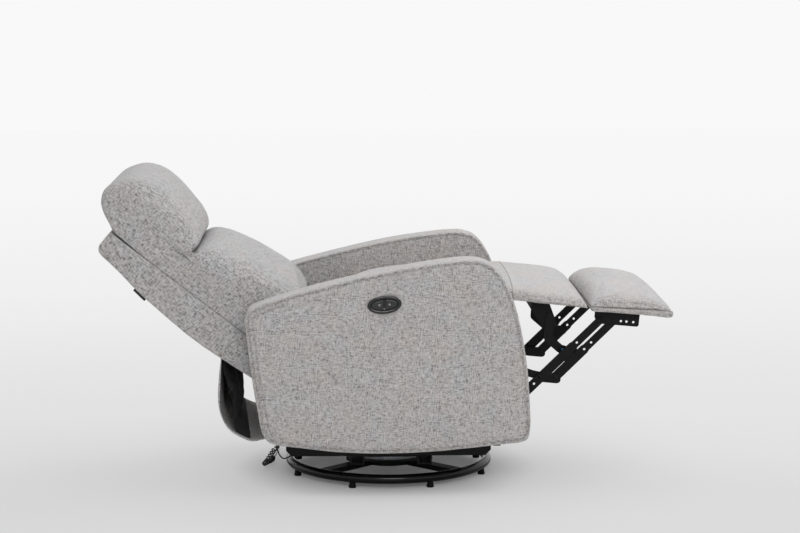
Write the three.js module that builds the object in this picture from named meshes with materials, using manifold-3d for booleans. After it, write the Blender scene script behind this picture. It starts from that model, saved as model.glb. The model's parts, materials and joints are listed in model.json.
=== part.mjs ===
// Swivel power recliner on a round ring base, shown laid back with its footrest out.
// Millimetres, +Z up, +X the way the sitter faces, +Y to the sitter's left. The floor is z = 0.
// The side at -Y is called near, the side at +Y far.
import * as THREE from "three";
import { mergeVertices } from "three/addons/utils/BufferGeometryUtils.js";
import Module from "manifold-3d";

const wasm = await Module();
wasm.setup();

// Fits
const fitGap = 0.3;
const layerGap = 2;
const pinClearance = 0.5;
const overrun = 1;

// Ring base
const ringDiameter = 600;
const ringTubeDiameter = 27;
const footHeight = 14.2;
const footDiameter = 32;
const footTopDiameter = 22;
const footCount = 8;
const crossBarWidth = 34;
const crossBarHeight = 15;
const crossBarFillet = 3;
const hubDiameter = 176;
const hubHeight = 20;

// Swivel
const swivelPlateSize = 250;
const swivelPlateCorner = 40;
const swivelPlateThickness = 4;
const raceOuterDiameter = 226;
const raceInnerDiameter = 186;
const raceHeight = 11;
const swivelBoltDiameter = 20;
const swivelNutDiameter = 36;
const swivelNutHeight = 11;
const plateHoleDiameter = 24;

// Lower frame
const crossRailWidth = 40;
const crossRailHeight = 25;
const crossRailOffset = 95;
const railWall = 4;
const mechRailHeight = 52;
const mechRailShelf = 38;
const mechRailFront = 282;
const mechRailRear = 296;
const mechRailDip = 16;
const bottomRailDepth = 20;
const frontRailFront = 306;
const frontRailBottom = 121;
const frontRailHeight = 28;
const rearRailRear = 346;
const rearRailBottom = 150;
const rearRailHeight = 42;
const crossTubeDiameter = 25;
const frontTubeHeight = 128;
const frontTubeForward = 232;
const rearTubeHeight = 182;

// Arms
const overallWidth = 770;
const armThickness = 102;
const armLength = 786;
const armHeight = 539;
const armRear = 405;
const armBottom = 121;
const armCrown = 5;
const armEdgeRound = 7;

// Seat
const cushionGap = 3;
const seatFront = 337;
const seatRear = 138;
const deckBottom = 440.6;
const deckThickness = 13;
const deckFront = 312;
const deckRear = 112;
const seatHeight = 143;
const apronRear = 230;
const apronFront = 70;
const apronThickness = 5;
const apronGap = 7;
const sideRailHeight = 60;
const sideRailThickness = 41.4;
const sideRailFront = 314;
const sideRailRear = 238;

// Linkage layers, counted outwards: the posts stand in the outermost
const outerLayerCount = 5;
const linkThickness = 4;
const linkWidth = 22;
const lowerLinkWidth = 21;
const pinDiameter = 10;
const pinHeadDiameter = 15;
const pinHeadThickness = 1.2;
const spacerDiameter = 17;
const lightHoleDiameter = 7;

// Linkage pivots, from the swivel axis and the floor
const ottomanPivotX = 628;
const ottomanPivotZ = 462;
const upperLinkLength = 227;
const upperLinkAngle = 44.3;
const twinStepX = 42;
const twinStepZ = -2;
const lowerReachX = 209;
const lowerReachZ = 119;
const lowerElbowX = 97;
const lowerElbowZ = 93;
const rearStepX = 38;
const rearStepZ = 2;
const upperTail = 54;
const tailHole = 27;
const torqueTubeDiameter = 22;
const torqueTubeBore = 15;
const postTopWidth = 78;
const postBottomWidth = 56;

// Bridge between the seat and the footrest
const bridgeBarTopX = 398;
const bridgeBarTopWidth = 48;
const bridgeBarDrop = 76;
const bridgeBarHeel = 27;
const bridgeBarLean = 32;
const bridgeBarFoot = 44;
const bridgeArmWidth = 24;
const bridgeBoltUp = 122;
const bridgePadFront = 549;
const bridgePadCrown = 64;
const bridgePadDrop = 25;
const bridgePadRearZ = 533;

// Ottoman
const ottomanTilt = 5.2;
const ottomanBehind = 76;
const ottomanAhead = 157;
const bracketHeight = 42;
const bracketBelow = 9;
const bracketHoleUp = 3;
const bracketCorner = 6;
const bracketBehind = 55;
const bracketAhead = 72;
const bracketFlange = 30;
const bracketFlangeThickness = 3;
const ottomanBoardThickness = 19;
const ottomanPadCrown = 63;

// Back, in its own frame: up the back from the hinge, and forward of it
const hingeX = 250;
const hingeZ = 400;
const reclineAngle = 48.1;
const backGap = 13;
const shellBehind = 173;
const shellStart = 42;
const shellEnd = 609;
const shellThicknessLow = 103;
const shellThicknessHigh = 64;
const shellCorner = 24;
const shellBow = 11;
const creaseUp = 400;
const lumbarFront = 132;
const pillowTop = 700;
const pillowFront = 99;
const pillowRear = 101;
const strapThickness = 4;
const strapWidth = 36;
const strapFootLength = 62;
const strapFootWidth = 34;
const hingePinDiameter = 14;
const hingeHeadDiameter = 24;
const hingeHeadThickness = 3;
const hingePostWidth = 50;
const tabUp = 425;
const tabHeight = 20;
const tabReach = 13;
const tabThickness = 1.6;
const tabInset = 9;

// Rear flap
const flapGap = 15;
const flapThickness = 4;
const flapFold = 7;
const flapFoldCount = 3;

// Switch in the near arm
const switchX = -22;
const switchZ = 538;
const switchTilt = 5.6;
const switchLength = 94;
const switchHeight = 49;
const switchProud = 3;
const switchDepth = 13;
const switchRim = 10;
const switchFloor = 3;
const buttonGap = 5;
const buttonThickness = 6;
const buttonRecess = 1.2;

// Actuator
const motorLength = 96;
const motorWidth = 58;
const motorHeight = 84;
const motorRound = 10;
const motorBelowShare = 0.3;
const glandShare = 0.4;
const actuatorRailWidth = 34;
const actuatorRailHeight = 20;
const actuatorBlockLength = 46;
const actuatorBlockWidth = 46;
const actuatorBlockWall = 7;
const actuatorBlockAt = 150;

// Curly supply lead
const leadDiameter = 4;
const curlDiameter = 16;
const curlPitch = 10.4;
const glandDiameter = 13;
const glandLength = 12;
const plugLength = 34;
const plugDiameter = 12;

// Facets
const ringSteps = 40;
const ringSides = 8;
const roundSides = 24;
const pinSides = 12;
const armSteps = 46;
const padSteps = 26;
const curlSteps = 8;
const curlSides = 5;

// Places that follow from the sizes above
const ringRadius = (ringDiameter - ringTubeDiameter) / 2;
const ringZ = footHeight + fitGap + ringTubeDiameter / 2;
const hubTop = ringZ - crossBarHeight / 2 + hubHeight;
const lowerPlateZ = hubTop + fitGap;
const raceZ = lowerPlateZ + swivelPlateThickness + fitGap;
const upperPlateZ = raceZ + raceHeight + fitGap;
const crossRailZ = upperPlateZ + swivelPlateThickness + fitGap;
const mechRailZ = crossRailZ + crossRailHeight + fitGap;
const layerPitch = linkThickness + layerGap;
const armInner = overallWidth / 2 - armThickness;
const seatWidth = 2 * (armInner - cushionGap);
const ottomanWidth = seatWidth;
const backWidth = 2 * (armInner - backGap);
const flapWidth = 2 * (armInner - flapGap);
const sideRailInner = armInner - fitGap - sideRailThickness;
const layerInner = sideRailInner - fitGap - outerLayerCount * layerPitch - linkThickness;
const sideRailTop = deckBottom - fitGap;
const deckTop = deckBottom + deckThickness;
const rad = Math.PI / 180;
const upperX = upperLinkLength * Math.cos(upperLinkAngle * rad);
const upperZ = upperLinkLength * Math.sin(upperLinkAngle * rad);
const F2 = [ottomanPivotX, ottomanPivotZ];
const F1 = [F2[0] - twinStepX, F2[1] - twinStepZ];
const Q2 = [F2[0] - upperX, F2[1] - upperZ];
const Q1 = [Q2[0] - twinStepX, Q2[1] - twinStepZ];
const Q3 = [Q2[0] - rearStepX, Q2[1] + rearStepZ];
const P1 = [Q2[0] - lowerReachX, Q2[1] + lowerReachZ];
const P2 = [P1[0] - rearStepX, P1[1] + rearStepZ];
const E1 = [P1[0] + lowerElbowX, P1[1] - lowerElbowZ];
const E2 = [P2[0] + lowerElbowX, P2[1] - lowerElbowZ];
const H = [-hingeX, hingeZ];
const bridgeRear = seatFront + 2 * fitGap;
const bridgeLength = bridgePadFront - bridgeRear;
const bridgeFootAt = (x) => bridgePadRearZ - (bridgePadDrop * (x - bridgeRear)) / bridgeLength;
const bridgeBarTopZ = bridgeFootAt(bridgeBarTopX + bridgeBarTopWidth) - fitGap;

// Points along a link from its lower pivot, by distance and offset to the left
const alongUpper = (from, d) => [
  from[0] + d * Math.cos(upperLinkAngle * rad),
  from[1] + d * Math.sin(upperLinkAngle * rad),
];

// Span of layer k on each side, as distances from the middle plane
const layer = (k) => [layerInner + k * layerPitch, layerInner + k * layerPitch + linkThickness];
const rearLinkLayer = layer(0);
const upperLinkLayer = layer(1);
const frontLinkLayer = layer(2);
const twinLinkLayer = layer(3);
const strapLayer = layer(4);
const apronWidth = 2 * (strapLayer[0] - apronGap);
const bridgeLayer = layer(-1);
const postLayer = layer(outerLayerCount);

const root = new THREE.Group();
const paints = {
  fabric: { color: 0xb4afaa, roughness: 0.95, metalness: 0 },
  lining: { color: 0x141414, roughness: 0.95, metalness: 0 },
  steel: { color: 0x121214, roughness: 0.42, metalness: 0.6 },
  gloss: { color: 0x0c0c0e, roughness: 0.18, metalness: 0.5 },
  plated: { color: 0x8d8f92, roughness: 0.4, metalness: 0.9 },
  wood: { color: 0xb99a6b, roughness: 0.8, metalness: 0 },
  plastic: { color: 0x101010, roughness: 0.5, metalness: 0 },
  shiny: { color: 0x0a0a0a, roughness: 0.12, metalness: 0 },
  rubber: { color: 0x151515, roughness: 0.9, metalness: 0 },
};

const leadNodes = [];
function add(name, geometry, paint, parent = root) {
  const mesh = new THREE.Mesh(geometry, new THREE.MeshStandardMaterial(paints[paint]));
  mesh.name = name;
  parent.add(mesh);
  return mesh;
}

// Solids that are cut and joined
function solid(geometry) {
  const g = geometry.clone();
  g.deleteAttribute("normal");
  g.deleteAttribute("uv");
  const m = mergeVertices(g, 1e-4);
  return new wasm.Manifold(new wasm.Mesh({
    numProp: 3,
    vertProperties: m.attributes.position.array,
    triVerts: new Uint32Array(m.index.array),
  }));
}
function geometryOf(body) {
  const m = body.getMesh();
  const g = new THREE.BufferGeometry();
  g.setAttribute("position", new THREE.BufferAttribute(m.vertProperties, m.numProp));
  g.setIndex(new THREE.BufferAttribute(m.triVerts, 1));
  g.computeVertexNormals();
  return g;
}
const join = (...parts) => geometryOf(parts.map(solid).reduce((a, b) => a.add(b)));
const cut = (part, ...tools) => geometryOf(tools.map(solid).reduce((a, b) => a.subtract(b), solid(part)));

// Outlines in the X-Z plane
const shapeOf = (points) => new THREE.Shape(points.map((p) => new THREE.Vector2(p[0], p[1])));
const circleAt = (c, r, n = pinSides) => Array.from({ length: n }, (_, i) => {
  const a = ((i + 0.5) / n) * 2 * Math.PI;
  return [c[0] + r * Math.cos(a), c[1] + r * Math.sin(a)];
});
function stadium(a, b, width, n = pinSides / 2) {
  const turn = Math.atan2(b[1] - a[1], b[0] - a[0]);
  const arc = (c, start) => Array.from({ length: n + 1 }, (_, i) => {
    const t = start + (i / n) * Math.PI;
    return [c[0] + (width / 2) * Math.cos(t), c[1] + (width / 2) * Math.sin(t)];
  });
  return [...arc(b, turn - Math.PI / 2), ...arc(a, turn + Math.PI / 2)];
}
// A strip of even thickness to the left of a line of points, with mitred corners
function strip(points, thickness) {
  const side = points.map((p, i) => {
    const a = points[Math.max(i - 1, 0)];
    const b = points[Math.min(i + 1, points.length - 1)];
    const before = new THREE.Vector2(p[0] - a[0], p[1] - a[1]).normalize();
    const after = new THREE.Vector2(b[0] - p[0], b[1] - p[1]).normalize();
    const mean = i === 0 ? after : i === points.length - 1 ? before : before.clone().add(after).normalize();
    const grow = thickness / Math.max(mean.dot(i === 0 ? after : before), 0.3);
    return [p[0] - mean.y * grow, p[1] + mean.x * grow];
  });
  return [...points, ...side.reverse()];
}
function smooth(points, count, closed = true) {
  const line = new THREE.CatmullRomCurve3(
    points.map((p) => new THREE.Vector3(p[0], p[1], 0)), closed, "centripetal");
  const list = line.getSpacedPoints(closed ? count : count - 1).map((p) => [p.x, p.y]);
  return closed ? list.slice(0, count) : list;
}
const scaled = (shares, x0, xSize, z0, zSize) =>
  shares.map((s) => [x0 + s[0] * xSize, z0 + s[1] * zSize]);

// A plate in the X-Z plane between two places across the chair
function slab(outline, yLow, yHigh, holes = []) {
  const shape = shapeOf(outline);
  holes.forEach((h) => shape.holes.push(new THREE.Path(h.map((p) => new THREE.Vector2(p[0], p[1])))));
  const g = new THREE.ExtrudeGeometry(shape, { depth: yHigh - yLow, bevelEnabled: false });
  g.rotateX(Math.PI / 2);
  g.translate(0, yHigh, 0);
  return g;
}
// The same on one side of the chair, between two distances from the middle plane
const sided = (outline, span, side, holes) =>
  slab(outline, side > 0 ? span[0] : -span[1], side > 0 ? span[1] : -span[0], holes);
const disc = (c, diameter, span, side, n) => sided(circleAt(c, diameter / 2, n), span, side);

// A plate flat on the floor plane, between two heights
function flat(outline, zLow, zHigh, holes = []) {
  const shape = shapeOf(outline);
  holes.forEach((h) => shape.holes.push(new THREE.Path(h.map((p) => new THREE.Vector2(p[0], p[1])))));
  const g = new THREE.ExtrudeGeometry(shape, { depth: zHigh - zLow, bevelEnabled: false });
  g.translate(0, 0, zLow);
  return g;
}
const block = (x0, x1, y0, y1, z0, z1) => {
  const g = new THREE.BoxGeometry(x1 - x0, y1 - y0, z1 - z0);
  g.translate((x0 + x1) / 2, (y0 + y1) / 2, (z0 + z1) / 2);
  return g;
};
const rectangle = (x0, x1, z0, z1) => [[x0, z0], [x1, z0], [x1, z1], [x0, z1]];
function roundedRectangle(x0, x1, z0, z1, r, n = 3) {
  const corner = (cx, cz, start) => Array.from({ length: n + 1 }, (_, i) => {
    const a = (start + (i / n) * 90) * rad;
    return [cx + r * Math.cos(a), cz + r * Math.sin(a)];
  });
  return [
    ...corner(x1 - r, z0 + r, -90),
    ...corner(x1 - r, z1 - r, 0),
    ...corner(x0 + r, z1 - r, 90),
    ...corner(x0 + r, z0 + r, 180),
  ];
}
function lathe(profile, n) {
  return new THREE.LatheGeometry(profile.map((p) => new THREE.Vector2(p[0], p[1])), n)
    .rotateX(Math.PI / 2);
}
// Sections one behind the other across the chair, closed at both ends
function loft(stations, ladder = false) {
  const n = stations[0].outline.length;
  const position = [];
  stations.forEach((s) => s.outline.forEach((p) => position.push(p[0], s.y, p[1])));
  const index = [];
  for (let k = 0; k + 1 < stations.length; k++) {
    for (let i = 0; i < n; i++) {
      const a = k * n + i;
      const b = k * n + ((i + 1) % n);
      index.push(a, b, b + n, a, b + n, a + n);
    }
  }
  // An end is a fan about its middle, or rungs between the two sides of a strip
  const cap = (k, turned) => {
    const face = (a, b, c) => index.push(...(turned ? [a, c, b] : [a, b, c]));
    if (ladder) {
      for (let i = 0; i + 1 < n / 2; i++) {
        const [a, b, c, d] = [i, i + 1, n - 2 - i, n - 1 - i].map((v) => k * n + v);
        face(a, b, c);
        face(a, c, d);
      }
      return;
    }
    const { y, outline } = stations[k];
    const hub = position.length / 3;
    position.push(
      outline.reduce((sum, p) => sum + p[0], 0) / n, y, outline.reduce((sum, p) => sum + p[1], 0) / n);
    for (let i = 0; i < n; i++) face(k * n + i, k * n + ((i + 1) % n), hub);
  };
  cap(0, true);
  cap(stations.length - 1, false);
  const g = new THREE.BufferGeometry();
  g.setAttribute("position", new THREE.BufferAttribute(new Float32Array(position), 3));
  g.setIndex(index);
  const test = solid(g);
  if (test.volume() < 0) {
    for (let i = 0; i < index.length; i += 3) {
      [index[i + 1], index[i + 2]] = [index[i + 2], index[i + 1]];
    }
    g.setIndex(index);
  }
  g.computeVertexNormals();
  return g;
}

// How a stuffed piece swells between its two sides: share of its width, share of its crown,
// share by which the section is drawn in about its middle
const swellShares = [
  [-1, 0.3, 0.8],
  [-0.985, 0.4, 0.92],
  [-0.94, 0.52, 0.985],
  [-0.84, 0.7, 1],
  [-0.62, 0.87, 1],
  [-0.3, 0.97, 1],
  [0, 1, 1],
  [0.3, 0.97, 1],
  [0.62, 0.87, 1],
  [0.84, 0.7, 1],
  [0.94, 0.52, 0.985],
  [0.985, 0.4, 0.92],
  [1, 0.3, 0.8],
];
// A cushion: for each share of its crown the section is given, then drawn in at the sides
function cushion(width, section, softShare = 1) {
  return loft(swellShares.map(([side, crown, drawn]) => {
    const outline = section(1 - (1 - crown) * softShare);
    const cx = outline.reduce((s, p) => s + p[0], 0) / outline.length;
    const cz = outline.reduce((s, p) => s + p[1], 0) / outline.length;
    return {
      y: (side * width) / 2,
      outline: outline.map((p) => [cx + (p[0] - cx) * drawn, cz + (p[1] - cz) * drawn]),
    };
  }));
}

// Ring base: a tube ring on small glides, with two crossed bars that carry the swivel
function torus(radius, tube, n, sides) {
  return lathe(Array.from({ length: sides + 1 }, (_, i) => {
    const a = (i / sides) * 2 * Math.PI;
    return [radius + (tube / 2) * Math.cos(a), (tube / 2) * Math.sin(a)];
  }), n).translate(0, 0, ringZ);
}
const crossBar = (turn) => {
  const half = ringRadius + ringTubeDiameter / 4;
  return slab(
    roundedRectangle(-half, half, ringZ - crossBarHeight / 2, ringZ + crossBarHeight / 2, crossBarFillet, 2),
    -crossBarWidth / 2, crossBarWidth / 2).rotateZ(turn);
};
const hub = lathe([
  [0, ringZ - crossBarHeight / 2 - fitGap],
  [hubDiameter / 2, ringZ - crossBarHeight / 2 - fitGap],
  [hubDiameter / 2, hubTop - crossBarFillet],
  [hubDiameter / 2 - crossBarFillet, hubTop],
  [0, hubTop],
], roundSides);
add("base_cross", cut(
  join(crossBar(Math.PI / 4), crossBar(-Math.PI / 4), hub),
  torus(ringRadius, ringTubeDiameter + 2 * fitGap, ringSteps, ringSides)), "steel");

const feet = Array.from({ length: footCount }, (_, i) => {
  const a = ((i + 0.5) / footCount) * 2 * Math.PI;
  return lathe([
    [0, 0],
    [footDiameter / 2, 0],
    [footDiameter / 2, footHeight / 2],
    [footTopDiameter / 2, footHeight],
    [footTopDiameter / 2, ringZ],
    [0, ringZ],
  ], pinSides).translate(ringRadius * Math.cos(a), ringRadius * Math.sin(a), 0);
});
add("base_ring", join(torus(ringRadius, ringTubeDiameter, ringSteps, ringSides), ...feet), "gloss");

// Swivel: lower plate, bearing race, upper plate and the bolt that holds them
const plateOutline = roundedRectangle(
  -swivelPlateSize / 2, swivelPlateSize / 2, -swivelPlateSize / 2, swivelPlateSize / 2, swivelPlateCorner, 3);
const plateHole = circleAt([0, 0], plateHoleDiameter / 2, roundSides);
add("swivel_plate_lower", flat(
  plateOutline, lowerPlateZ, lowerPlateZ + swivelPlateThickness, [plateHole]), "steel");
add("bearing_race", lathe([
  [raceInnerDiameter / 2, raceZ],
  [raceOuterDiameter / 2, raceZ],
  [raceOuterDiameter / 2, raceZ + raceHeight],
  [raceInnerDiameter / 2, raceZ + raceHeight],
  [raceInnerDiameter / 2, raceZ],
], roundSides), "plated");
add("swivel_plate_upper", flat(
  plateOutline, upperPlateZ, upperPlateZ + swivelPlateThickness, [plateHole]), "steel");
const nutZ = upperPlateZ + swivelPlateThickness + fitGap;
add("swivel_bolt", lathe([
  [0, hubTop + fitGap],
  [swivelBoltDiameter / 2, hubTop + fitGap],
  [swivelBoltDiameter / 2, nutZ],
  [swivelNutDiameter / 2, nutZ],
  [swivelNutDiameter / 2, nutZ + swivelNutHeight],
  [0, nutZ + swivelNutHeight],
], pinSides * 2), "plated");

// Lower frame: two cross channels on the swivel plate, an angle rail along each side on them
const railSpan = postLayer[1] + fitGap + railWall;
const channel = (x) => cut(
  block(x - crossRailWidth / 2, x + crossRailWidth / 2, -railSpan, railSpan,
    crossRailZ, crossRailZ + crossRailHeight),
  block(x - crossRailWidth / 2 + railWall, x + crossRailWidth / 2 - railWall,
    -railSpan - overrun, railSpan + overrun, crossRailZ + railWall, crossRailZ + crossRailHeight + overrun));
add("cross_rail_front", channel(crossRailOffset), "steel");
add("cross_rail_rear", channel(-crossRailOffset), "steel");

const sides = [["near", -1], ["far", 1]];
const mechLeg = [postLayer[1] + fitGap, railSpan];
sides.forEach(([word, side]) => {
  const leg = sided([
    [-mechRailRear, mechRailZ + mechRailDip],
    [-mechRailRear + mechRailDip, mechRailZ],
    [mechRailFront - mechRailDip, mechRailZ],
    [mechRailFront, mechRailZ + mechRailDip],
    [mechRailFront, mechRailZ + mechRailHeight],
    [-mechRailRear, mechRailZ + mechRailHeight],
  ], mechLeg, side);
  const shelf = sided(
    rectangle(-mechRailRear + mechRailDip, mechRailFront - mechRailDip, mechRailZ, mechRailZ + railWall),
    [mechLeg[1] - mechRailShelf, mechLeg[0] + railWall / 2], side);
  add("mech_rail_" + word, join(leg, shelf), "steel");
});

// Posts on the angle rails: the front one carries the footrest pivots, the rear one the back's hinge
const postFoot = mechRailZ + railWall + fitGap;
const postPivotZ = Math.max(P1[1], P2[1]);
const postTop = Math.min(sideRailTop, postPivotZ + spacerDiameter / 2 + layerGap);
sides.forEach(([word, side]) => {
  const mid = (P1[0] + P2[0]) / 2;
  const outline = [
    [mid - postBottomWidth / 2, postFoot],
    [mid + postBottomWidth / 2, postFoot],
    [mid + postTopWidth / 2, P1[1] - postTopWidth / 2],
    [mid + postTopWidth / 2, postTop - layerGap],
    [mid + postTopWidth / 2 - layerGap, postTop],
    [mid - postTopWidth / 2 + layerGap, postTop],
    [mid - postTopWidth / 2, postTop - layerGap],
    [mid - postTopWidth / 2, P2[1] - postTopWidth / 2],
  ];
  add("front_post_" + word, join(
    sided(outline, postLayer, side),
    disc(P1, spacerDiameter, [frontLinkLayer[1] + fitGap, postLayer[0] + layerGap], side),
    disc(P1, pinDiameter, [frontLinkLayer[0] - pinHeadThickness, postLayer[0] + layerGap], side),
    disc(P2, spacerDiameter, [rearLinkLayer[1] + fitGap, postLayer[0] + layerGap], side),
    disc(P2, pinDiameter, [rearLinkLayer[0] - fitGap - pinHeadThickness, postLayer[0] + layerGap], side),
    disc(P2, pinHeadDiameter,
      [rearLinkLayer[0] - fitGap - pinHeadThickness, rearLinkLayer[0] - fitGap], side),
  ), "steel");
});
sides.forEach(([word, side]) => {
  const r = hingePostWidth / 2;
  const top = Array.from({ length: 7 }, (_, i) => {
    const a = (i / 6) * Math.PI;
    return [H[0] + r * Math.cos(a), H[1] + r * Math.sin(a)];
  });
  add("hinge_post_" + word, join(
    sided([[H[0] - r, postFoot], [H[0] + r, postFoot], ...top], postLayer, side),
    disc(H, hingePinDiameter, [strapLayer[0] - fitGap - hingeHeadThickness, postLayer[0] + layerGap], side),
    disc(H, hingeHeadDiameter,
      [strapLayer[0] - fitGap - hingeHeadThickness, strapLayer[0] - fitGap], side, pinSides * 2),
  ), "steel");
});

// Tubes across between the posts
const tubeAcross = (c) => slab(circleAt(c, crossTubeDiameter / 2, pinSides),
  -postLayer[0] + fitGap, postLayer[0] - fitGap, [circleAt(c, crossTubeDiameter / 2 - layerGap, pinSides)]);
const frontTube = [frontTubeForward, frontTubeHeight];
const rearTube = [H[0], rearTubeHeight];
add("front_tube", tubeAcross(frontTube), "steel");
add("rear_tube", tubeAcross(rearTube), "steel");

// Timber rails: one along each side under the seat, two across between the arms
sides.forEach(([word, side]) => {
  add("side_rail_" + word, sided(
    rectangle(-sideRailRear, sideRailFront, sideRailTop - sideRailHeight, sideRailTop),
    [postLayer[1] + fitGap, armInner - fitGap], side), "wood");
});
const railReach = armInner - fitGap;
add("bottom_rail_front", block(
  frontRailFront - bottomRailDepth, frontRailFront, -railReach, railReach,
  frontRailBottom, frontRailBottom + frontRailHeight), "wood");
add("bottom_rail_rear", block(
  -rearRailRear, -rearRailRear + bottomRailDepth, -railReach, railReach,
  rearRailBottom, rearRailBottom + rearRailHeight), "wood");

// Seat: a deck on the side rails, a lining apron behind it, and the cushion
add("seat_deck", block(-deckRear, deckFront, -railReach, railReach, deckBottom, deckTop), "wood");
add("seat_apron", block(
  -apronRear, -apronFront, -apronWidth / 2, apronWidth / 2,
  deckBottom - fitGap - apronThickness, deckBottom - fitGap), "lining");

// Seat section: shares of its length from the rear end and of its height over the deck
const seatShares = [
  [0.03, 0, 0],
  [0.35, 0, 0],
  [0.7, 0, 0],
  [0.97, 0, 0],
  [1, 0.12, 0.06],
  [1, 0.36, 0.2],
  [0.995, 0.47, 0.36],
  [0.97, 0.51, 0.4],
  [0.9, 0.52, 0.43],
  [0.7, 0.51, 0.43],
  [0.45, 0.47, 0.41],
  [0.2, 0.4, 0.36],
  [0.06, 0.34, 0.28],
  [0, 0.26, 0.18],
  [0, 0.12, 0.06],
];
add("seat_cushion", cushion(seatWidth, (crown) => smooth(seatShares.map(([a, edge, rise]) => [
  -seatRear + a * (seatRear + seatFront),
  deckTop + fitGap + (edge + rise * crown) * seatHeight,
]), padSteps).map((p) => [Math.min(p[0], seatFront), Math.max(p[1], deckTop + fitGap)])), "fabric");

// Arms: the side outline as shares of the arm's length and height
const armShares = [
  [0.06, 0.105],
  [0.083, 0.061],
  [0.2, 0.03],
  [0.35, 0.006],
  [0.506, 0],
  [0.7, 0.013],
  [0.9, 0.044],
  [0.968, 0.055],
  [0.991, 0.072],
  [1, 0.13],
  [0.998, 0.25],
  [0.989, 0.42],
  [0.969, 0.61],
  [0.943, 0.765],
  [0.915, 0.865],
  [0.885, 0.935],
  [0.852, 0.976],
  [0.81, 0.995],
  [0.75, 0.995],
  [0.65, 0.978],
  [0.5, 0.942],
  [0.316, 0.881],
  [0.15, 0.817],
  [0.05, 0.769],
  [0.016, 0.745],
  [0.001, 0.7],
  [0.006, 0.62],
  [0.02, 0.44],
  [0.043, 0.23],
];
const armOutline = smooth(
  scaled(armShares, -armRear, armLength, armBottom, armHeight), armSteps);
const armMid = [-armRear + armLength / 2, armBottom + armHeight / 2];
const armInset = (inset) => armOutline.map((p) => [
  armMid[0] + (p[0] - armMid[0]) * (1 - (2 * inset) / armLength),
  armMid[1] + (p[1] - armMid[1]) * (1 - (2 * inset) / armHeight),
]);
// Places across the arm as shares of its rounded edge, with how far the outline is drawn in there
const armEdgeShares = [
  [0, 1],
  [0.35, 0.3],
  [1, 0],
];
function armBody(side) {
  const outer = overallWidth / 2 - armCrown;
  const stations = [
    ...armEdgeShares.map(([d, s]) => ({ y: armInner + d * armEdgeRound, outline: armInset(s * armEdgeRound) })),
    ...armEdgeShares.map(([d, s]) => ({ y: outer - d * armEdgeRound, outline: armInset(s * armEdgeRound) })).reverse(),
    { y: outer + armCrown * 0.7, outline: armInset(armEdgeRound * 5) },
    { y: outer + armCrown, outline: armInset(armHeight / 4) },
  ];
  return loft(stations.map((s) => ({ y: side * s.y, outline: s.outline })));
}

// Switch: an oval dish set in the near arm, with two buttons in it
const switchC = [switchX, switchZ];
function ovalAt(length, height, n = roundSides) {
  return Array.from({ length: n }, (_, i) => {
    const a = ((i + 0.5) / n) * 2 * Math.PI;
    const x = (length / 2) * Math.cos(a);
    const z = (height / 2) * Math.sin(a);
    const t = switchTilt * rad;
    return [switchC[0] + x * Math.cos(t) - z * Math.sin(t), switchC[1] + x * Math.sin(t) + z * Math.cos(t)];
  });
}
const switchFace = overallWidth / 2 + switchProud;
const switchBack = overallWidth / 2 - switchDepth;
const armNear = armBody(-1);
const pocket = sided(
  ovalAt(switchLength - switchRim + 2 * fitGap, switchHeight - switchRim + 2 * fitGap),
  [switchBack - fitGap, overallWidth / 2 + overrun], -1);
add("arm_near", cut(armNear, pocket), "fabric");
add("arm_far", armBody(1), "fabric");

const dishHoleLength = switchLength - 2 * switchRim;
const dishHoleHeight = switchHeight - 2 * switchRim;
add("switch_bezel", cut(
  join(
    sided(ovalAt(switchLength, switchHeight, roundSides * 1.5),
      [overallWidth / 2 + fitGap, switchFace - switchProud / 3], -1),
    sided(ovalAt(switchLength - switchProud, switchHeight - switchProud, roundSides * 1.5),
      [overallWidth / 2 + fitGap, switchFace], -1),
    sided(ovalAt(switchLength - switchRim, switchHeight - switchRim),
      [switchBack, overallWidth / 2 + overrun], -1),
  ),
  sided(ovalAt(dishHoleLength, dishHoleHeight), [switchBack + switchFloor, switchFace + overrun], -1),
), "shiny");
const buttonTopY = switchFace - buttonRecess;
const buttonSpan = [buttonTopY - buttonThickness, buttonTopY];
[["switch_button_rear", -1], ["switch_button_front", 1]].forEach(([name, end]) => {
  const half = switchLength;
  const keep = slab(
    end > 0
      ? rectangle(switchX + buttonGap / 2, switchX + half, switchZ - half, switchZ + half)
      : rectangle(switchX - half, switchX - buttonGap / 2, switchZ - half, switchZ + half),
    -overallWidth, 0);
  const body = solid(sided(
    ovalAt(dishHoleLength - 2 * fitGap, dishHoleHeight - 2 * fitGap), buttonSpan, -1));
  add(name, geometryOf(body.intersect(solid(keep))), "plastic");
});

// Back: built upright in its own group about the hinge, then laid back
const back = new THREE.Group();
back.position.set(H[0], 0, H[1]);
back.rotation.y = -reclineAngle * rad;
root.add(back);

const seamAt = (up) => -shellBehind + shellThicknessLow +
  ((shellThicknessHigh - shellThicknessLow) * (up - shellStart)) / (shellEnd - shellStart);
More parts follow.
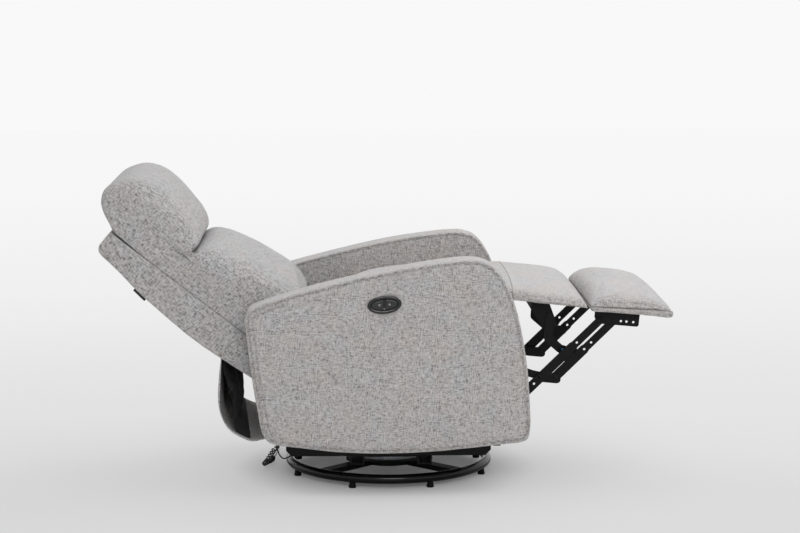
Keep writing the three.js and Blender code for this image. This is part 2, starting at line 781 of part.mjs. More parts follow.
// How far the rear face bows out, as shares of its height and of the bow
const shellBowShares = [
  [0, -1.55],
  [0.1, -0.87],
  [0.2, -0.12],
  [0.29, 0.5],
  [0.4, 0.9],
  [0.52, 1],
  [0.66, 1],
  [0.74, 0.8],
  [0.82, 0.36],
  [0.91, 0.08],
  [1, 0],
];
const shellRearAt = (up) => {
  const share = (up - shellStart) / (shellEnd - shellStart);
  const k = Math.max(1, shellBowShares.findIndex((row) => row[0] >= share));
  const [[a, low], [b, high]] = [shellBowShares[k - 1], shellBowShares[k]];
  return -shellBehind - shellBow * (low + ((high - low) * (share - a)) / (b - a));
};
const shellOutline = [
  [shellRearAt(shellStart), shellStart],
  [seamAt(shellStart) - fitGap, shellStart],
  [seamAt(shellEnd - shellCorner / 3) - fitGap, shellEnd - shellCorner / 3],
  [seamAt(shellEnd) - shellCorner / 3, shellEnd],
  ...Array.from({ length: 5 }, (_, i) => {
    const a = (90 + (i / 4) * 90) * rad;
    return [-shellBehind + shellCorner * (1 + Math.cos(a)), shellEnd - shellCorner * (1 - Math.sin(a))];
  }),
  ...shellBowShares.slice(1, -1).reverse().map(([share]) => {
    const up = shellStart + (shellEnd - shellStart) * share;
    return [shellRearAt(up), up];
  }),
];
// Places across the shell as shares of its edge, and how far the outline is drawn in
const shellEdge = shellCorner / 4;
const drawnIn = (outline, inset) => {
  const cx = outline.reduce((s, p) => s + p[0], 0) / outline.length;
  const cz = outline.reduce((s, p) => s + p[1], 0) / outline.length;
  return outline.map((p) => [
    p[0] - Math.sign(p[0] - cx) * inset,
    p[1] - Math.sign(p[1] - cz) * inset,
  ]);
};
add("back_shell", loft([
  { y: -backWidth / 2, outline: drawnIn(shellOutline, shellEdge / 2) },
  { y: -backWidth / 2 + shellEdge, outline: shellOutline },
  { y: backWidth / 2 - shellEdge, outline: shellOutline },
  { y: backWidth / 2, outline: drawnIn(shellOutline, shellEdge / 2) },
]), "fabric", back);

// Lumbar cushion: shares up from the shell's foot to the crease, then how far forward
// it stands at the sides and in the middle, as shares of its full depth
const lumbarShares = [
  [0, 0, 0],
  [0.5, 0, 0],
  [0.96, 0, 0],
  [0.995, 0.2, 0.1],
  [0.985, 0.38, 0.24],
  [0.95, 0.44, 0.3],
  [0.89, 0.475, 0.335],
  [0.8, 0.505, 0.355],
  [0.63, 0.565, 0.36],
  [0.48, 0.6, 0.36],
  [0.32, 0.63, 0.36],
  [0.18, 0.62, 0.36],
  [0.08, 0.59, 0.32],
  [0.02, 0.5, 0.24],
  [0, 0.3, 0.1],
];
const lumbarTop = creaseUp - fitGap;
add("back_cushion", cushion(backWidth, (crown) => smooth(lumbarShares.map(([up, edge, rise]) => {
  const z = shellStart + up * (lumbarTop - shellStart);
  const depth = lumbarFront - seamAt(shellStart);
  return [seamAt(z) + fitGap + (edge + rise * crown) * depth, z];
}), padSteps).map((p) => [Math.max(p[0], seamAt(p[1]) + fitGap), p[1]])), "fabric", back);

// Head pillow: places as shares of its height above the crease and of its depth
const pillowShares = [
  [0, 0.2, 0],
  [0.03, 0.02, 0],
  [0.3, 0, 0],
  [0.66, 0, 0],
  [0.76, 0.03, 0],
  [0.87, 0.09, 0],
  [0.95, 0.18, 0],
  [1, 0.33, 0],
  [0.973, 0.47, 0.05],
  [0.893, 0.566, 0.2],
  [0.763, 0.586, 0.34],
  [0.573, 0.572, 0.4],
  [0.347, 0.537, 0.4],
  [0.117, 0.473, 0.38],
  [0.03, 0.42, 0.32],
  [0, 0.33, 0.15],
];
add("head_pillow", cushion(backWidth, (crown) => smooth(pillowShares.map(([up, edge, rise]) => {
  const z = creaseUp + fitGap + up * (pillowTop - creaseUp);
  const rear = Math.max(seamAt(Math.min(z, shellEnd)) + fitGap, -pillowRear);
  return [rear + (edge + rise * crown) * (pillowFront - rear), z];
}), padSteps + 2).map((p) => [
  p[1] < shellEnd + fitGap ? Math.max(p[0], seamAt(p[1]) + fitGap) : p[0], p[1]])), "fabric", back);

// Small blank tab in the rear seam
const tabSeat = Math.min(shellRearAt(tabUp - tabHeight / 2), shellRearAt(tabUp + tabHeight / 2)) - fitGap;
add("back_tab", block(
  tabSeat - tabReach, tabSeat,
  -backWidth / 2 + tabInset, -backWidth / 2 + tabInset + tabThickness,
  tabUp - tabHeight / 2, tabUp + tabHeight / 2), "plastic", back);

// Steel straps from the hinge pins to the foot of the shell
sides.forEach(([word, side]) => {
  const footTop = shellStart - fitGap;
  const footFront = seamAt(shellStart) - fitGap - layerGap;
  const footRear = footFront - strapFootLength;
  const r = strapWidth / 2;
  const pivot = Array.from({ length: 9 }, (_, i) => {
    const a = (-120 + (i / 8) * 210) * rad;
    return [r * Math.cos(a), r * Math.sin(a)];
  });
  const strap = sided(
    [...pivot, [footFront, footTop], [footRear, footTop], [footRear, footTop - r / 2]],
    strapLayer, side, [circleAt([0, 0], hingePinDiameter / 2 + pinClearance, pinSides)]);
  const foot = sided(
    rectangle(footRear, footFront, footTop - strapThickness, footTop),
    [strapLayer[1] - strapFootWidth, strapLayer[0] + strapThickness / 2], side);
  add("back_strap_" + word, join(strap, foot), "steel", back);
});

// Footrest links
const hole = (c, diameter = pinDiameter + 2 * pinClearance) => circleAt(c, diameter / 2);
const inward = (span) => [span[0] - fitGap - pinHeadThickness, span[0] - fitGap];
const outward = (span) => [span[1] + fitGap, span[1] + fitGap + pinHeadThickness];

sides.forEach(([word, side]) => {
  // Front lower link: pivots at P1, bends at its elbow and ends in the two pins Q1 and Q2
  const bar = join(
    sided(stadium(P1, E1, lowerLinkWidth), frontLinkLayer, side),
    sided(stadium(E1, Q1, lowerLinkWidth), frontLinkLayer, side),
    sided(stadium(Q1, Q2, lowerLinkWidth), frontLinkLayer, side),
    disc(Q2, pinDiameter, [inward(upperLinkLayer)[0], frontLinkLayer[0] + overrun], side),
    disc(Q2, pinHeadDiameter, inward(upperLinkLayer), side),
    disc(Q1, spacerDiameter - layerGap, [frontLinkLayer[1] - overrun, twinLinkLayer[0] - fitGap], side),
    disc(Q1, pinDiameter, [frontLinkLayer[1] - overrun, outward(twinLinkLayer)[1]], side),
    disc(Q1, pinHeadDiameter, outward(twinLinkLayer), side),
  );
  add("lower_link_front_" + word, cut(bar, disc(
    P1, pinDiameter + 2 * pinClearance, [rearLinkLayer[0], postLayer[1]], side)), "steel");

  // Rear lower link: the same bend, one step back
  add("lower_link_rear_" + word, cut(
    join(
      sided(stadium(P2, E2, lowerLinkWidth), rearLinkLayer, side),
      sided(stadium(E2, Q3, lowerLinkWidth), rearLinkLayer, side),
    ),
    disc(P2, pinDiameter + 2 * pinClearance, [rearLinkLayer[0] - overrun, rearLinkLayer[1] + overrun], side),
    disc(Q3, pinDiameter + 2 * pinClearance, [rearLinkLayer[0] - overrun, rearLinkLayer[1] + overrun], side),
  ), "steel");

  // Upper link: from the two lower pins out to the ottoman bracket
  const waist = alongUpper(Q2, upperLinkLength / 2);
  const heel = [Q2[0] + linkWidth / 5, Q2[1] - linkWidth / 3];
  const upperBar = join(
    sided(stadium(waist, F2, linkWidth), upperLinkLayer, side),
    sided(stadium(Q2, waist, linkWidth * 1.2), upperLinkLayer, side),
    sided(stadium(Q3, Q2, linkWidth), upperLinkLayer, side),
    sided(stadium([Q3[0] + layerGap, Q3[1] - linkWidth / 4], heel, linkWidth), upperLinkLayer, side),
    disc(Q3, pinDiameter, [inward(rearLinkLayer)[0], upperLinkLayer[0] + overrun], side),
    disc(Q3, pinHeadDiameter, inward(rearLinkLayer), side),
  );
  const through = [upperLinkLayer[0] - overrun, upperLinkLayer[1] + overrun];
  add("upper_link_" + word, cut(upperBar,
    disc(Q2, pinDiameter + 2 * pinClearance, through, side),
    disc(F2, pinDiameter + 2 * pinClearance, through, side),
    disc(alongUpper(Q2, upperLinkLength * 0.62), lightHoleDiameter, through, side),
    disc(alongUpper(Q2, upperLinkLength * 0.5), lightHoleDiameter, through, side),
  ), "steel");

  // Twin upper link: beside it, from Q1 to the bracket, with a short tail past Q1
  const tail = alongUpper(Q1, -upperTail);
  const twinWaist = alongUpper(Q1, upperLinkLength * 0.55);
  add("twin_link_" + word, cut(
    join(
      sided(stadium(tail, twinWaist, linkWidth * 1.2), twinLinkLayer, side),
      sided(stadium(twinWaist, F1, linkWidth), twinLinkLayer, side),
    ),
    ...[Q1, F1].map((c) => disc(
      c, pinDiameter + 2 * pinClearance, [twinLinkLayer[0] - overrun, twinLinkLayer[1] + overrun], side)),
    ...[alongUpper(Q1, -tailHole), alongUpper(Q1, upperLinkLength * 0.62)].map((c) => disc(
      c, lightHoleDiameter, [twinLinkLayer[0] - overrun, twinLinkLayer[1] + overrun], side)),
  ), "steel");

  // Bridge arm: bolted to the upper link through a spacer, up to the bridge bar
  const bolt = alongUpper(Q2, bridgeBoltUp - layerPitch * 5);
  const elbow = [bridgeBarTopX + bridgeBarTopWidth + bridgeBarFoot / 1.3, bolt[1] + bridgeArmWidth * 0.6];
  const knee = [bridgeBarTopX + bridgeBarTopWidth, bridgeBarTopZ - bridgeBarDrop - bridgeBarLean];
  const head = [bridgeBarTopX + bridgeBarTopWidth + bridgeArmWidth / 6, bridgeBarTopZ - bridgeBarDrop * 0.6];
  add("bridge_arm_" + word, join(
    sided(stadium(bolt, elbow, bridgeArmWidth), bridgeLayer, side),
    sided(stadium(elbow, knee, bridgeArmWidth), bridgeLayer, side),
    sided(stadium(knee, head, bridgeArmWidth), bridgeLayer, side),
    disc(bolt, spacerDiameter, [bridgeLayer[1] - overrun, upperLinkLayer[0] - fitGap], side),
  ), "steel");
});

// Torque tube on the front pivots, welded between the front lower links
add("torque_tube", slab(circleAt(P1, torqueTubeDiameter / 2, roundSides / 2),
  -frontLinkLayer[0] + fitGap, frontLinkLayer[0] - fitGap,
  [circleAt(P1, torqueTubeBore / 2, roundSides / 2)]), "steel");

// Bridge bar: a bent channel across under the bridge pad, closed by a plate at each end
const barLine = [
  [bridgeBarTopX + bridgeBarTopWidth, bridgeBarTopZ],
  [bridgeBarTopX, bridgeBarTopZ],
  [bridgeBarTopX, bridgeBarTopZ - bridgeBarHeel],
  [bridgeBarTopX + bridgeBarLean, bridgeBarTopZ - bridgeBarDrop],
  [bridgeBarTopX + bridgeBarLean + bridgeBarFoot, bridgeBarTopZ - bridgeBarDrop],
];
const barEnd = bridgeLayer[0] - fitGap;
add("bridge_bar", join(
  slab(strip(barLine, linkThickness), -barEnd, barEnd),
  ...sides.map(([, side]) => sided(barLine, [barEnd - linkThickness, barEnd], side)),
), "steel");

// Bridge pad: shares of its length from the seat, and of its crown, over a sloping foot
const bridgeShares = [
  [0, 0, 0],
  [0.33, 0, 0],
  [0.67, 0, 0],
  [1, 0, 0],
  [1, 0.12, 0.06],
  [0.95, 0.19, 0.28],
  [0.86, 0.235, 0.45],
  [0.7, 0.25, 0.54],
  [0.45, 0.26, 0.57],
  [0.2, 0.26, 0.57],
  [0.05, 0.24, 0.53],
  [0, 0.18, 0.4],
];
add("bridge_pad", cushion(seatWidth, (crown) => smooth(bridgeShares.map(([a, edge, rise]) => {
  const x = bridgeRear + a * bridgeLength;
  return [x, bridgeFootAt(x) + (edge + rise * crown) * bridgePadCrown];
}), padSteps).map((p) => [
  Math.min(Math.max(p[0], bridgeRear), bridgePadFront), Math.max(p[1], bridgeFootAt(p[0])),
])), "fabric");

// Ottoman: built level about its pivot, then tipped down a little
const ottoman = new THREE.Group();
ottoman.position.set(F2[0], 0, F2[1]);
ottoman.rotation.y = ottomanTilt * rad;
root.add(ottoman);
const tilt = ottomanTilt * rad;
const F1local = [
  (F1[0] - F2[0]) * Math.cos(tilt) - (F1[1] - F2[1]) * Math.sin(tilt),
  (F1[0] - F2[0]) * Math.sin(tilt) + (F1[1] - F2[1]) * Math.cos(tilt),
];
const bracketTop = bracketHeight - bracketBelow;
const boardBottom = bracketTop + fitGap;
const boardTop = boardBottom + ottomanBoardThickness;
sides.forEach(([word, side]) => {
  const plate = sided([
    [-bracketBehind, bracketBelow],
    [-bracketBehind + bracketBelow, -bracketBelow],
    [bracketAhead - bracketCorner, -bracketBelow],
    [bracketAhead - bracketCorner * 0.3, -bracketBelow + bracketCorner * 0.3],
    [bracketAhead, -bracketBelow + bracketCorner],
    [bracketAhead, bracketTop],
    [-bracketBehind, bracketTop],
  ], frontLinkLayer, side);
  const flange = sided(
    rectangle(-bracketBehind, bracketAhead, bracketTop - bracketFlangeThickness, bracketTop),
    [frontLinkLayer[1] - bracketFlange, frontLinkLayer[0] + overrun], side);
  const bare = join(
    plate,
    flange,
    disc([0, 0], pinDiameter, [inward(upperLinkLayer)[0], frontLinkLayer[0] + overrun], side),
    disc([0, 0], pinHeadDiameter, inward(upperLinkLayer), side),
    disc(F1local, spacerDiameter - layerGap, [frontLinkLayer[1] - overrun, twinLinkLayer[0] - fitGap], side),
    disc(F1local, pinDiameter, [frontLinkLayer[1] - overrun, outward(twinLinkLayer)[1]], side),
    disc(F1local, pinHeadDiameter, outward(twinLinkLayer), side),
  );
  const lights = [0.29, 0.51, 0.78].map((share) => disc(
    [share * bracketAhead, bracketHoleUp], lightHoleDiameter,
    [frontLinkLayer[0] - overrun, frontLinkLayer[1] + overrun], side));
  add("ottoman_bracket_" + word, cut(bare, ...lights), "steel", ottoman);
});
add("ottoman_board", slab(
  roundedRectangle(-ottomanBehind, ottomanAhead, boardBottom, boardTop, ottomanBoardThickness / 3, 2),
  -ottomanWidth / 2, ottomanWidth / 2), "fabric", ottoman);

const ottomanShares = [
  [0, 0, 0],
  [0.33, 0, 0],
  [0.67, 0, 0],
  [0.995, 0, 0],
  [1, 0.08, 0.02],
  [0.95, 0.11, 0.16],
  [0.87, 0.14, 0.36],
  [0.76, 0.16, 0.53],
  [0.6, 0.17, 0.62],
  [0.4, 0.18, 0.64],
  [0.24, 0.18, 0.61],
  [0.12, 0.15, 0.5],
  [0.04, 0.11, 0.28],
  [0, 0.06, 0.04],
];
const ottomanLength = ottomanBehind + ottomanAhead;
add("ottoman_pad", cushion(ottomanWidth, (crown) => smooth(ottomanShares.map(([a, edge, rise]) => [
  -ottomanBehind + a * ottomanLength,
  boardTop + fitGap + (edge + rise * crown) * ottomanPadCrown,
]), padSteps).map((p) => [p[0], Math.max(p[1], boardTop + fitGap)])), "fabric", ottoman);

// Rear flap: a hanging lined cloth from the back of the shell down and under to the rear rail
const toWorld = (x, z) => [
  H[0] + x * Math.cos(-reclineAngle * rad) + z * Math.sin(-reclineAngle * rad),
  H[1] - x * Math.sin(-reclineAngle * rad) + z * Math.cos(-reclineAngle * rad),
];
const flapTopShare = 0.185;
const flapTopUp = shellStart + (shellEnd - shellStart) * flapTopShare;
const flapTop = toWorld(shellRearAt(flapTopUp) - flapThickness - 2 * fitGap, flapTopUp);
const flapFoot = [-rearRailRear + bottomRailDepth * 0.8, rearRailBottom - fitGap - flapThickness];
// Its line as shares of the belly's reach behind the foot and of its drop from the top
const flapShares = [
  [0.998, 1],
  [1.02, 0.8],
  [1.04, 0.5],
  [1.02, 0.33],
  [0.93, 0.18],
  [0.79, 0.07],
  [0.62, 0.005],
  [0.42, -0.045],
  [0.23, -0.03],
  [0.1, -0.005],
];
const flapAcrossSteps = 12;
const flapStations = Array.from({ length: flapAcrossSteps + 1 }, (_, k) => {
  const s = k / flapAcrossSteps;
  const line = smooth([
    ...flapShares.map(([a, b]) => {
      const sway = Math.sin(s * Math.PI * 2 * flapFoldCount) * flapFold * 4 * b * (1 - b);
      return [
        flapFoot[0] - a * (flapFoot[0] - flapTop[0]) - (b > 0 ? sway : 0),
        flapFoot[1] + b * (flapTop[1] - flapFoot[1]),
      ];
    }),
    flapFoot,
  ], 12, false);
  return { y: (s - 0.5) * flapWidth, outline: strip(line, flapThickness) };
});
add("rear_flap", loft(flapStations, true), "lining");

// Actuator: a guide rail between the two tubes, with its motor at the rear and a slide block
const railDirection = new THREE.Vector2(frontTube[0] - rearTube[0], frontTube[1] - rearTube[1]);
const railTilt = Math.atan2(railDirection.y, railDirection.x);
const actuator = new THREE.Group();
actuator.position.set(rearTube[0], 0, rearTube[1]);
actuator.rotation.y = -railTilt;
root.add(actuator);
const railStart = crossTubeDiameter / 2 + fitGap;
const railEnd = railDirection.length() - crossTubeDiameter / 2 - fitGap;
add("actuator_motor", slab(
  roundedRectangle(railStart, railStart + motorLength,
    -motorHeight * motorBelowShare, motorHeight * (1 - motorBelowShare), motorRound, 3),
  -motorWidth / 2, motorWidth / 2), "plastic", actuator);
const glandX = railStart + motorLength * glandShare;
const glandTop = -motorHeight * motorBelowShare - fitGap;
add("lead_gland", lathe([
  [0, -glandLength],
  [glandDiameter / 3, -glandLength],
  [glandDiameter / 2, -glandLength / 2],
  [glandDiameter / 2, 0],
  [0, 0],
], pinSides).translate(glandX, 0, glandTop), "rubber", actuator);
add("actuator_rail", slab(
  rectangle(railStart + motorLength + fitGap, railEnd, -actuatorRailHeight / 2, actuatorRailHeight / 2),
  -actuatorRailWidth / 2, actuatorRailWidth / 2), "plated", actuator);
const blockOuter = block(
  actuatorBlockAt + motorLength, actuatorBlockAt + motorLength + actuatorBlockLength,
  -actuatorBlockWidth / 2, actuatorBlockWidth / 2,
  -actuatorRailHeight / 2 - actuatorBlockWall, actuatorRailHeight / 2 + actuatorBlockWall);
const blockBore = block(
  actuatorBlockAt + motorLength - overrun, actuatorBlockAt + motorLength + actuatorBlockLength + overrun,
  -actuatorRailWidth / 2 - fitGap, actuatorRailWidth / 2 + fitGap,
  -actuatorRailHeight / 2 - fitGap, actuatorRailHeight / 2 + fitGap);
add("actuator_block", cut(blockOuter, blockBore), "plastic", actuator);

// Supply lead: out of the gland under the motor, a droop behind the ring, then the curls,
// which turn back on the floor and end in a plug
const glandPoint = (drop) => [
  rearTube[0] + glandX * Math.cos(railTilt) - (glandTop - drop) * Math.sin(railTilt),
  0,
  rearTube[1] + glandX * Math.sin(railTilt) + (glandTop - drop) * Math.cos(railTilt),
];
const leadRoute = [
  glandPoint(glandLength + fitGap),
  glandPoint(glandLength + leadDiameter),
  glandPoint(glandLength + 2 * leadDiameter),
  [-214, -22, 112],
  [-240, -60, 92],
  [-266, -90, 70],
  [-290, -106, 54],
  [-306, -110, 50],
  [-317, -106, 60],
  [-324, -96, 76],
];
const curlRoute = [
  [-325, -90, 84],
  [-334, -68, 66],
  [-347, -38, 40],
  [-359, -8, 17],
  [-363, 12, 9],
  [-356, 30, 9],
  [-346, 52, 9],
  [-338, 90, 9],
  [-335, 108, 9],
];
const endRoute = [
  [-335, 108, 9],
  [-331, 165, 6],
  [-330, 200, 6],
  [-330, 236, 6],
];

// One unbroken tube: straight, curls about their own route, straight again
function leadPath() {
  const points = [];
  const first = new THREE.CatmullRomCurve3(leadRoute.map((p) => new THREE.Vector3(...p)), false, "centripetal");
  const curlAxis = new THREE.CatmullRomCurve3(curlRoute.map((p) => new THREE.Vector3(...p)), false, "centripetal");
  const last = new THREE.CatmullRomCurve3(endRoute.map((p) => new THREE.Vector3(...p)), false, "centripetal");
  const firstSteps = 22;
  for (let i = 0; i < firstSteps; i++) points.push(first.getPointAt(i / firstSteps));
  const curls = Math.round(curlAxis.getLength() / curlPitch);
  const radius = (curlDiameter - leadDiameter) / 2;
  const total = curls * curlSteps;
  const frames = curlAxis.computeFrenetFrames(total, false);
  for (let i = 0; i <= total; i++) {
    const share = i / total;
    const ease = Math.min(1, i / curlSteps, (total - i) / curlSteps);
    const a = share * curls * 2 * Math.PI;
    const c = curlAxis.getPointAt(share);
    c.addScaledVector(frames.normals[i], radius * ease * Math.cos(a));
    c.addScaledVector(frames.binormals[i], radius * ease * Math.sin(a));
    c.z = Math.max(c.z, leadDiameter / 2 + fitGap);
    points.push(c);
  }
  const lastSteps = 8;
  for (let i = 1; i <= lastSteps; i++) points.push(last.getPointAt(i / lastSteps));
  return { points, curls };
}
const { points: leadPoints, curls: curlCount } = leadPath();
function leadTube(points, diameter, sidesAround) {
  const n = points.length;
  const tangents = points.map((p, i) => points[Math.min(i + 1, n - 1)].clone()
    .sub(points[Math.max(i - 1, 0)]).normalize());
  let normal = new THREE.Vector3(0, 1, 0).cross(tangents[0]).normalize();
  const position = [];
  const index = [];
  points.forEach((p, i) => {
    normal = normal.clone().addScaledVector(tangents[i], -normal.dot(tangents[i])).normalize();
    const other = tangents[i].clone().cross(normal);
    for (let k = 0; k < sidesAround; k++) {
      const a = (k / sidesAround) * 2 * Math.PI;
      const v = p.clone()
        .addScaledVector(normal, (diameter / 2) * Math.cos(a))
        .addScaledVector(other, (diameter / 2) * Math.sin(a));
      position.push(v.x, v.y, v.z);
    }
  });
  for (let i = 0; i + 1 < n; i++) {
    for (let k = 0; k < sidesAround; k++) {
      const a = i * sidesAround + k;
      const b = i * sidesAround + ((k + 1) % sidesAround);
      index.push(a, b, b + sidesAround, a, b + sidesAround, a + sidesAround);
    }
  }
  for (let k = 1; k + 1 < sidesAround; k++) {
    index.push(0, k + 1, k);
    const e = (n - 1) * sidesAround;
    index.push(e, e + k, e + k + 1);
  }
  const g = new THREE.BufferGeometry();
  g.setAttribute("position", new THREE.BufferAttribute(new Float32Array(position), 3));
  g.setIndex(index);
  g.computeVertexNormals();
  return g;
}
add("supply_lead", leadTube(leadPoints, leadDiameter, curlSides), "rubber");
leadNodes.push("supply_lead");
let leadLength = 0;
for (let i = 1; i < leadPoints.length; i++) leadLength += leadPoints[i].distanceTo(leadPoints[i - 1]);
let selfGap = Infinity;
for (let i = 0; i < leadPoints.length; i++) {
  for (let j = i + curlSteps - 2; j < leadPoints.length; j++) {
    selfGap = Math.min(selfGap, leadPoints[i].distanceTo(leadPoints[j]) - leadDiameter);
  }
}
console.log("lead: " + curlCount + " curls, length " + leadLength.toFixed(0) +
  " mm, least gap to itself " + selfGap.toFixed(2) + " mm");

const leadEnd = leadPoints[leadPoints.length - 1];
const plug = lathe([
  [0, 0],
  [plugDiameter / 3, 0],
  [plugDiameter / 2, plugLength / 4],
  [plugDiameter / 2, plugLength],
  [0, plugLength],
], pinSides);
plug.rotateX(-Math.PI / 2);
plug.translate(leadEnd.x, leadEnd.y + fitGap, leadEnd.z + fitGap);
add("supply_plug", plug, "plastic");
leadNodes.push("supply_plug");

// The group is moved so that the origin lies on the floor under the middle of the object
const box = new THREE.Box3();
root.updateMatrixWorld(true);
root.traverse((o) => {
  if (o.isMesh && !leadNodes.includes(o.name)) box.expandByObject(o, true);
});
const shift = -(box.min.x + box.max.x) / 2;
const group = new THREE.Group();
group.add(root);
root.position.x = shift;
const place = (name, p) => console.log(name, ((p[0] + shift) / 1000).toFixed(5), "0", (p[1] / 1000).toFixed(5));
console.log("swivel axis x " + (shift / 1000).toFixed(5));
place("P1", P1);
place("P2", P2);
place("Q1", Q1);
place("Q2", Q2);
place("Q3", Q3);
place("F1", F1);
place("F2", F2);
place("hinge", H);

export default group;
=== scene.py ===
"""Swivel power recliner on a round ring base, laid back with its footrest out.

Upholstery, steel, switch and lead are dressed over the frame, and a pale studio stands round it.
Lengths in the tables below are millimetres, from the swivel axis and the floor, unless a table says otherwise.
"""

import json
import math

import bmesh
import bpy
import numpy as np
from bpy.props import FloatProperty, FloatVectorProperty, IntProperty, PointerProperty
from mathutils import Matrix, Vector, noise


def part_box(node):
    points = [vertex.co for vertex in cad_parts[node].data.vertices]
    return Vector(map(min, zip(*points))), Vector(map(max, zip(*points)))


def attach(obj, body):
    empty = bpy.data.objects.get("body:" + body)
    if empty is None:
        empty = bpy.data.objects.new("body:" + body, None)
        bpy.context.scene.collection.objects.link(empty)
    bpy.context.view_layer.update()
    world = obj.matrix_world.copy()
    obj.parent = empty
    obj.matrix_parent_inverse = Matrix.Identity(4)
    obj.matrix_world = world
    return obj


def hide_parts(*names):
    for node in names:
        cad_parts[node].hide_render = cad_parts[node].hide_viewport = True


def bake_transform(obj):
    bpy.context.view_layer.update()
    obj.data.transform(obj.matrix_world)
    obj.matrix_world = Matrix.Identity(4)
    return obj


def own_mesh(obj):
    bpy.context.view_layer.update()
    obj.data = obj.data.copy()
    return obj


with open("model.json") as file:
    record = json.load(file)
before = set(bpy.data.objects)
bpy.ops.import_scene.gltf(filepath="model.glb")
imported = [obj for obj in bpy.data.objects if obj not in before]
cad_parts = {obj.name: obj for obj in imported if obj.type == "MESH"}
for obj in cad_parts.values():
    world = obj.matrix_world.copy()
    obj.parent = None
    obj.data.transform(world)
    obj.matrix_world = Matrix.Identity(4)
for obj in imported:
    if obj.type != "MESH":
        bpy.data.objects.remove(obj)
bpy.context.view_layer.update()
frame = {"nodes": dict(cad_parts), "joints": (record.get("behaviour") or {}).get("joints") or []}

bl_info = {
    "name": "Ring base recliner",
    "version": (1, 0, 0),
    "blender": (4, 5, 0),
    "location": "View3D > Sidebar > Recliner",
    "description": "Builds the upholstery, steelwork and studio of a swivel power recliner",
    "category": "Object",
}

JOINTS = {j["name"]: j for j in frame["joints"]}
SWIVEL = Vector(JOINTS["swivel"]["pos_m"])
HINGE = Vector(JOINTS["back_recline"]["pos_m"])
FOOT_PIN = Vector(JOINTS["ottoman_follow"]["pos_m"])
RECLINE = math.radians(48.1)
FOOT_TILT = math.radians(5.2)

# Where each group of pieces is drawn: the chair, the back upright about its hinge, the footrest level
CHAIR = Matrix.Translation(SWIVEL)
BACK = Matrix.Translation(HINGE) @ Matrix.Rotation(-RECLINE, 4, "Y")
FOOTREST = Matrix.Translation(FOOT_PIN) @ Matrix.Rotation(FOOT_TILT, 4, "Y")
WAYS = ("near", -1), ("far", 1)


# Curves and surfaces

# Steps of a smooth line from each of its given points to the next
FINE = 24


def dense_line(points, closed=True):
    """A smooth line through given points, with FINE steps from each to the next."""
    p = np.array(points, float)
    n = len(p)
    dense = []
    for i in range(n if closed else n - 1):
        if closed:
            a, b, c, d = p[i - 1], p[i], p[(i + 1) % n], p[(i + 2) % n]
        else:
            b, c = p[i], p[i + 1]
            a = p[i - 1] if i else 2 * b - c
            d = p[i + 2] if i + 2 < n else 2 * c - b
        u, v, w = (max(np.linalg.norm(q - r), 1e-6) ** 0.5 for q, r in ((b, a), (c, b), (d, c)))
        start = ((b - a) / u - (c - a) / (u + v) + (c - b) / v) * v
        end = ((c - b) / v - (d - b) / (v + w) + (d - c) / w) * v
        t = np.linspace(0, 1, FINE, endpoint=False)[:, None]
        dense.append(
            (2 * t**3 - 3 * t**2 + 1) * b
            + (t**3 - 2 * t**2 + t) * start
            + (3 * t**2 - 2 * t**3) * c
            + (t**3 - t**2) * end
        )
    return np.vstack([*dense, p[:1] if closed else p[-1:]])


def spaced(line, count, last=True):
    """Count points evenly spaced along a line."""
    along = np.concatenate([[0], np.cumsum(np.linalg.norm(np.diff(line, axis=0), axis=1))])
    want = np.linspace(0, along[-1], count, endpoint=last)
    return np.column_stack([np.interp(want, along, line[:, k]) for k in range(line.shape[1])])


def through(points, count, closed=True):
    """A smooth line through given points, as count points evenly spaced along it."""
    return spaced(dense_line(points, closed), count, not closed)


def parted(points, parts):
    """A smooth closed line, whose stretch from each named point to the next named one gets its own count of points."""
    line = dense_line(points)
    ends = [start * FINE for start, _ in parts[1:]] + [len(line) - 1]
    return np.vstack([spaced(line[start * FINE : end + 1], count, False) for (start, count), end in zip(parts, ends)])


def length_of(line):
    return np.sum(np.linalg.norm(np.diff(line, axis=0), axis=1))


def directions(line):
    """The unit direction of a line at each of its points."""
    t = np.gradient(line, axis=0)
    return t / np.linalg.norm(t, axis=1)[:, None]


def off_line(line, distance):
    """How to move each point of an X-Z line to stand at a distance to its left."""
    t = directions(line)
    return np.column_stack([-t[:, 1], t[:, 0]]) * distance


def drawn_in(outline, inset):
    """The outline moved inwards by inset along its own normals."""
    ahead, behind = np.roll(outline, -1, 0), np.roll(outline, 1, 0)
    t = ahead - behind
    t /= np.linalg.norm(t, axis=1)[:, None] + 1e-9
    area = np.sum(outline[:, 0] * ahead[:, 1] - ahead[:, 0] * outline[:, 1])
    normal = np.column_stack([t[:, 1], -t[:, 0]]) * np.sign(area)
    return outline - normal * np.reshape(inset, (-1, 1))


def seated(outline, y):
    """An X-Z outline set across the chair at y, as rows of x, y, z."""
    return np.column_stack([outline[:, 0], np.full(len(outline), float(y)), outline[:, 1]])


def ringed(rings):
    """Vertices and faces of closed rings one after the other, each end closed by a fan."""
    n = len(rings[0])
    verts = list(np.vstack(rings))
    faces = []
    for k in range(len(rings) - 1):
        for i in range(n):
            j = (i + 1) % n
            faces.append((k * n + i, k * n + j, (k + 1) * n + j, (k + 1) * n + i))
    for end, base in enumerate((0, (len(rings) - 1) * n)):
        hub = len(verts)
        verts.append(rings[-end].mean(axis=0))
        for i in range(n):
            a, b = base + i, base + (i + 1) % n
            faces.append((a, b, hub) if end else (b, a, hub))
    return np.array(verts), faces


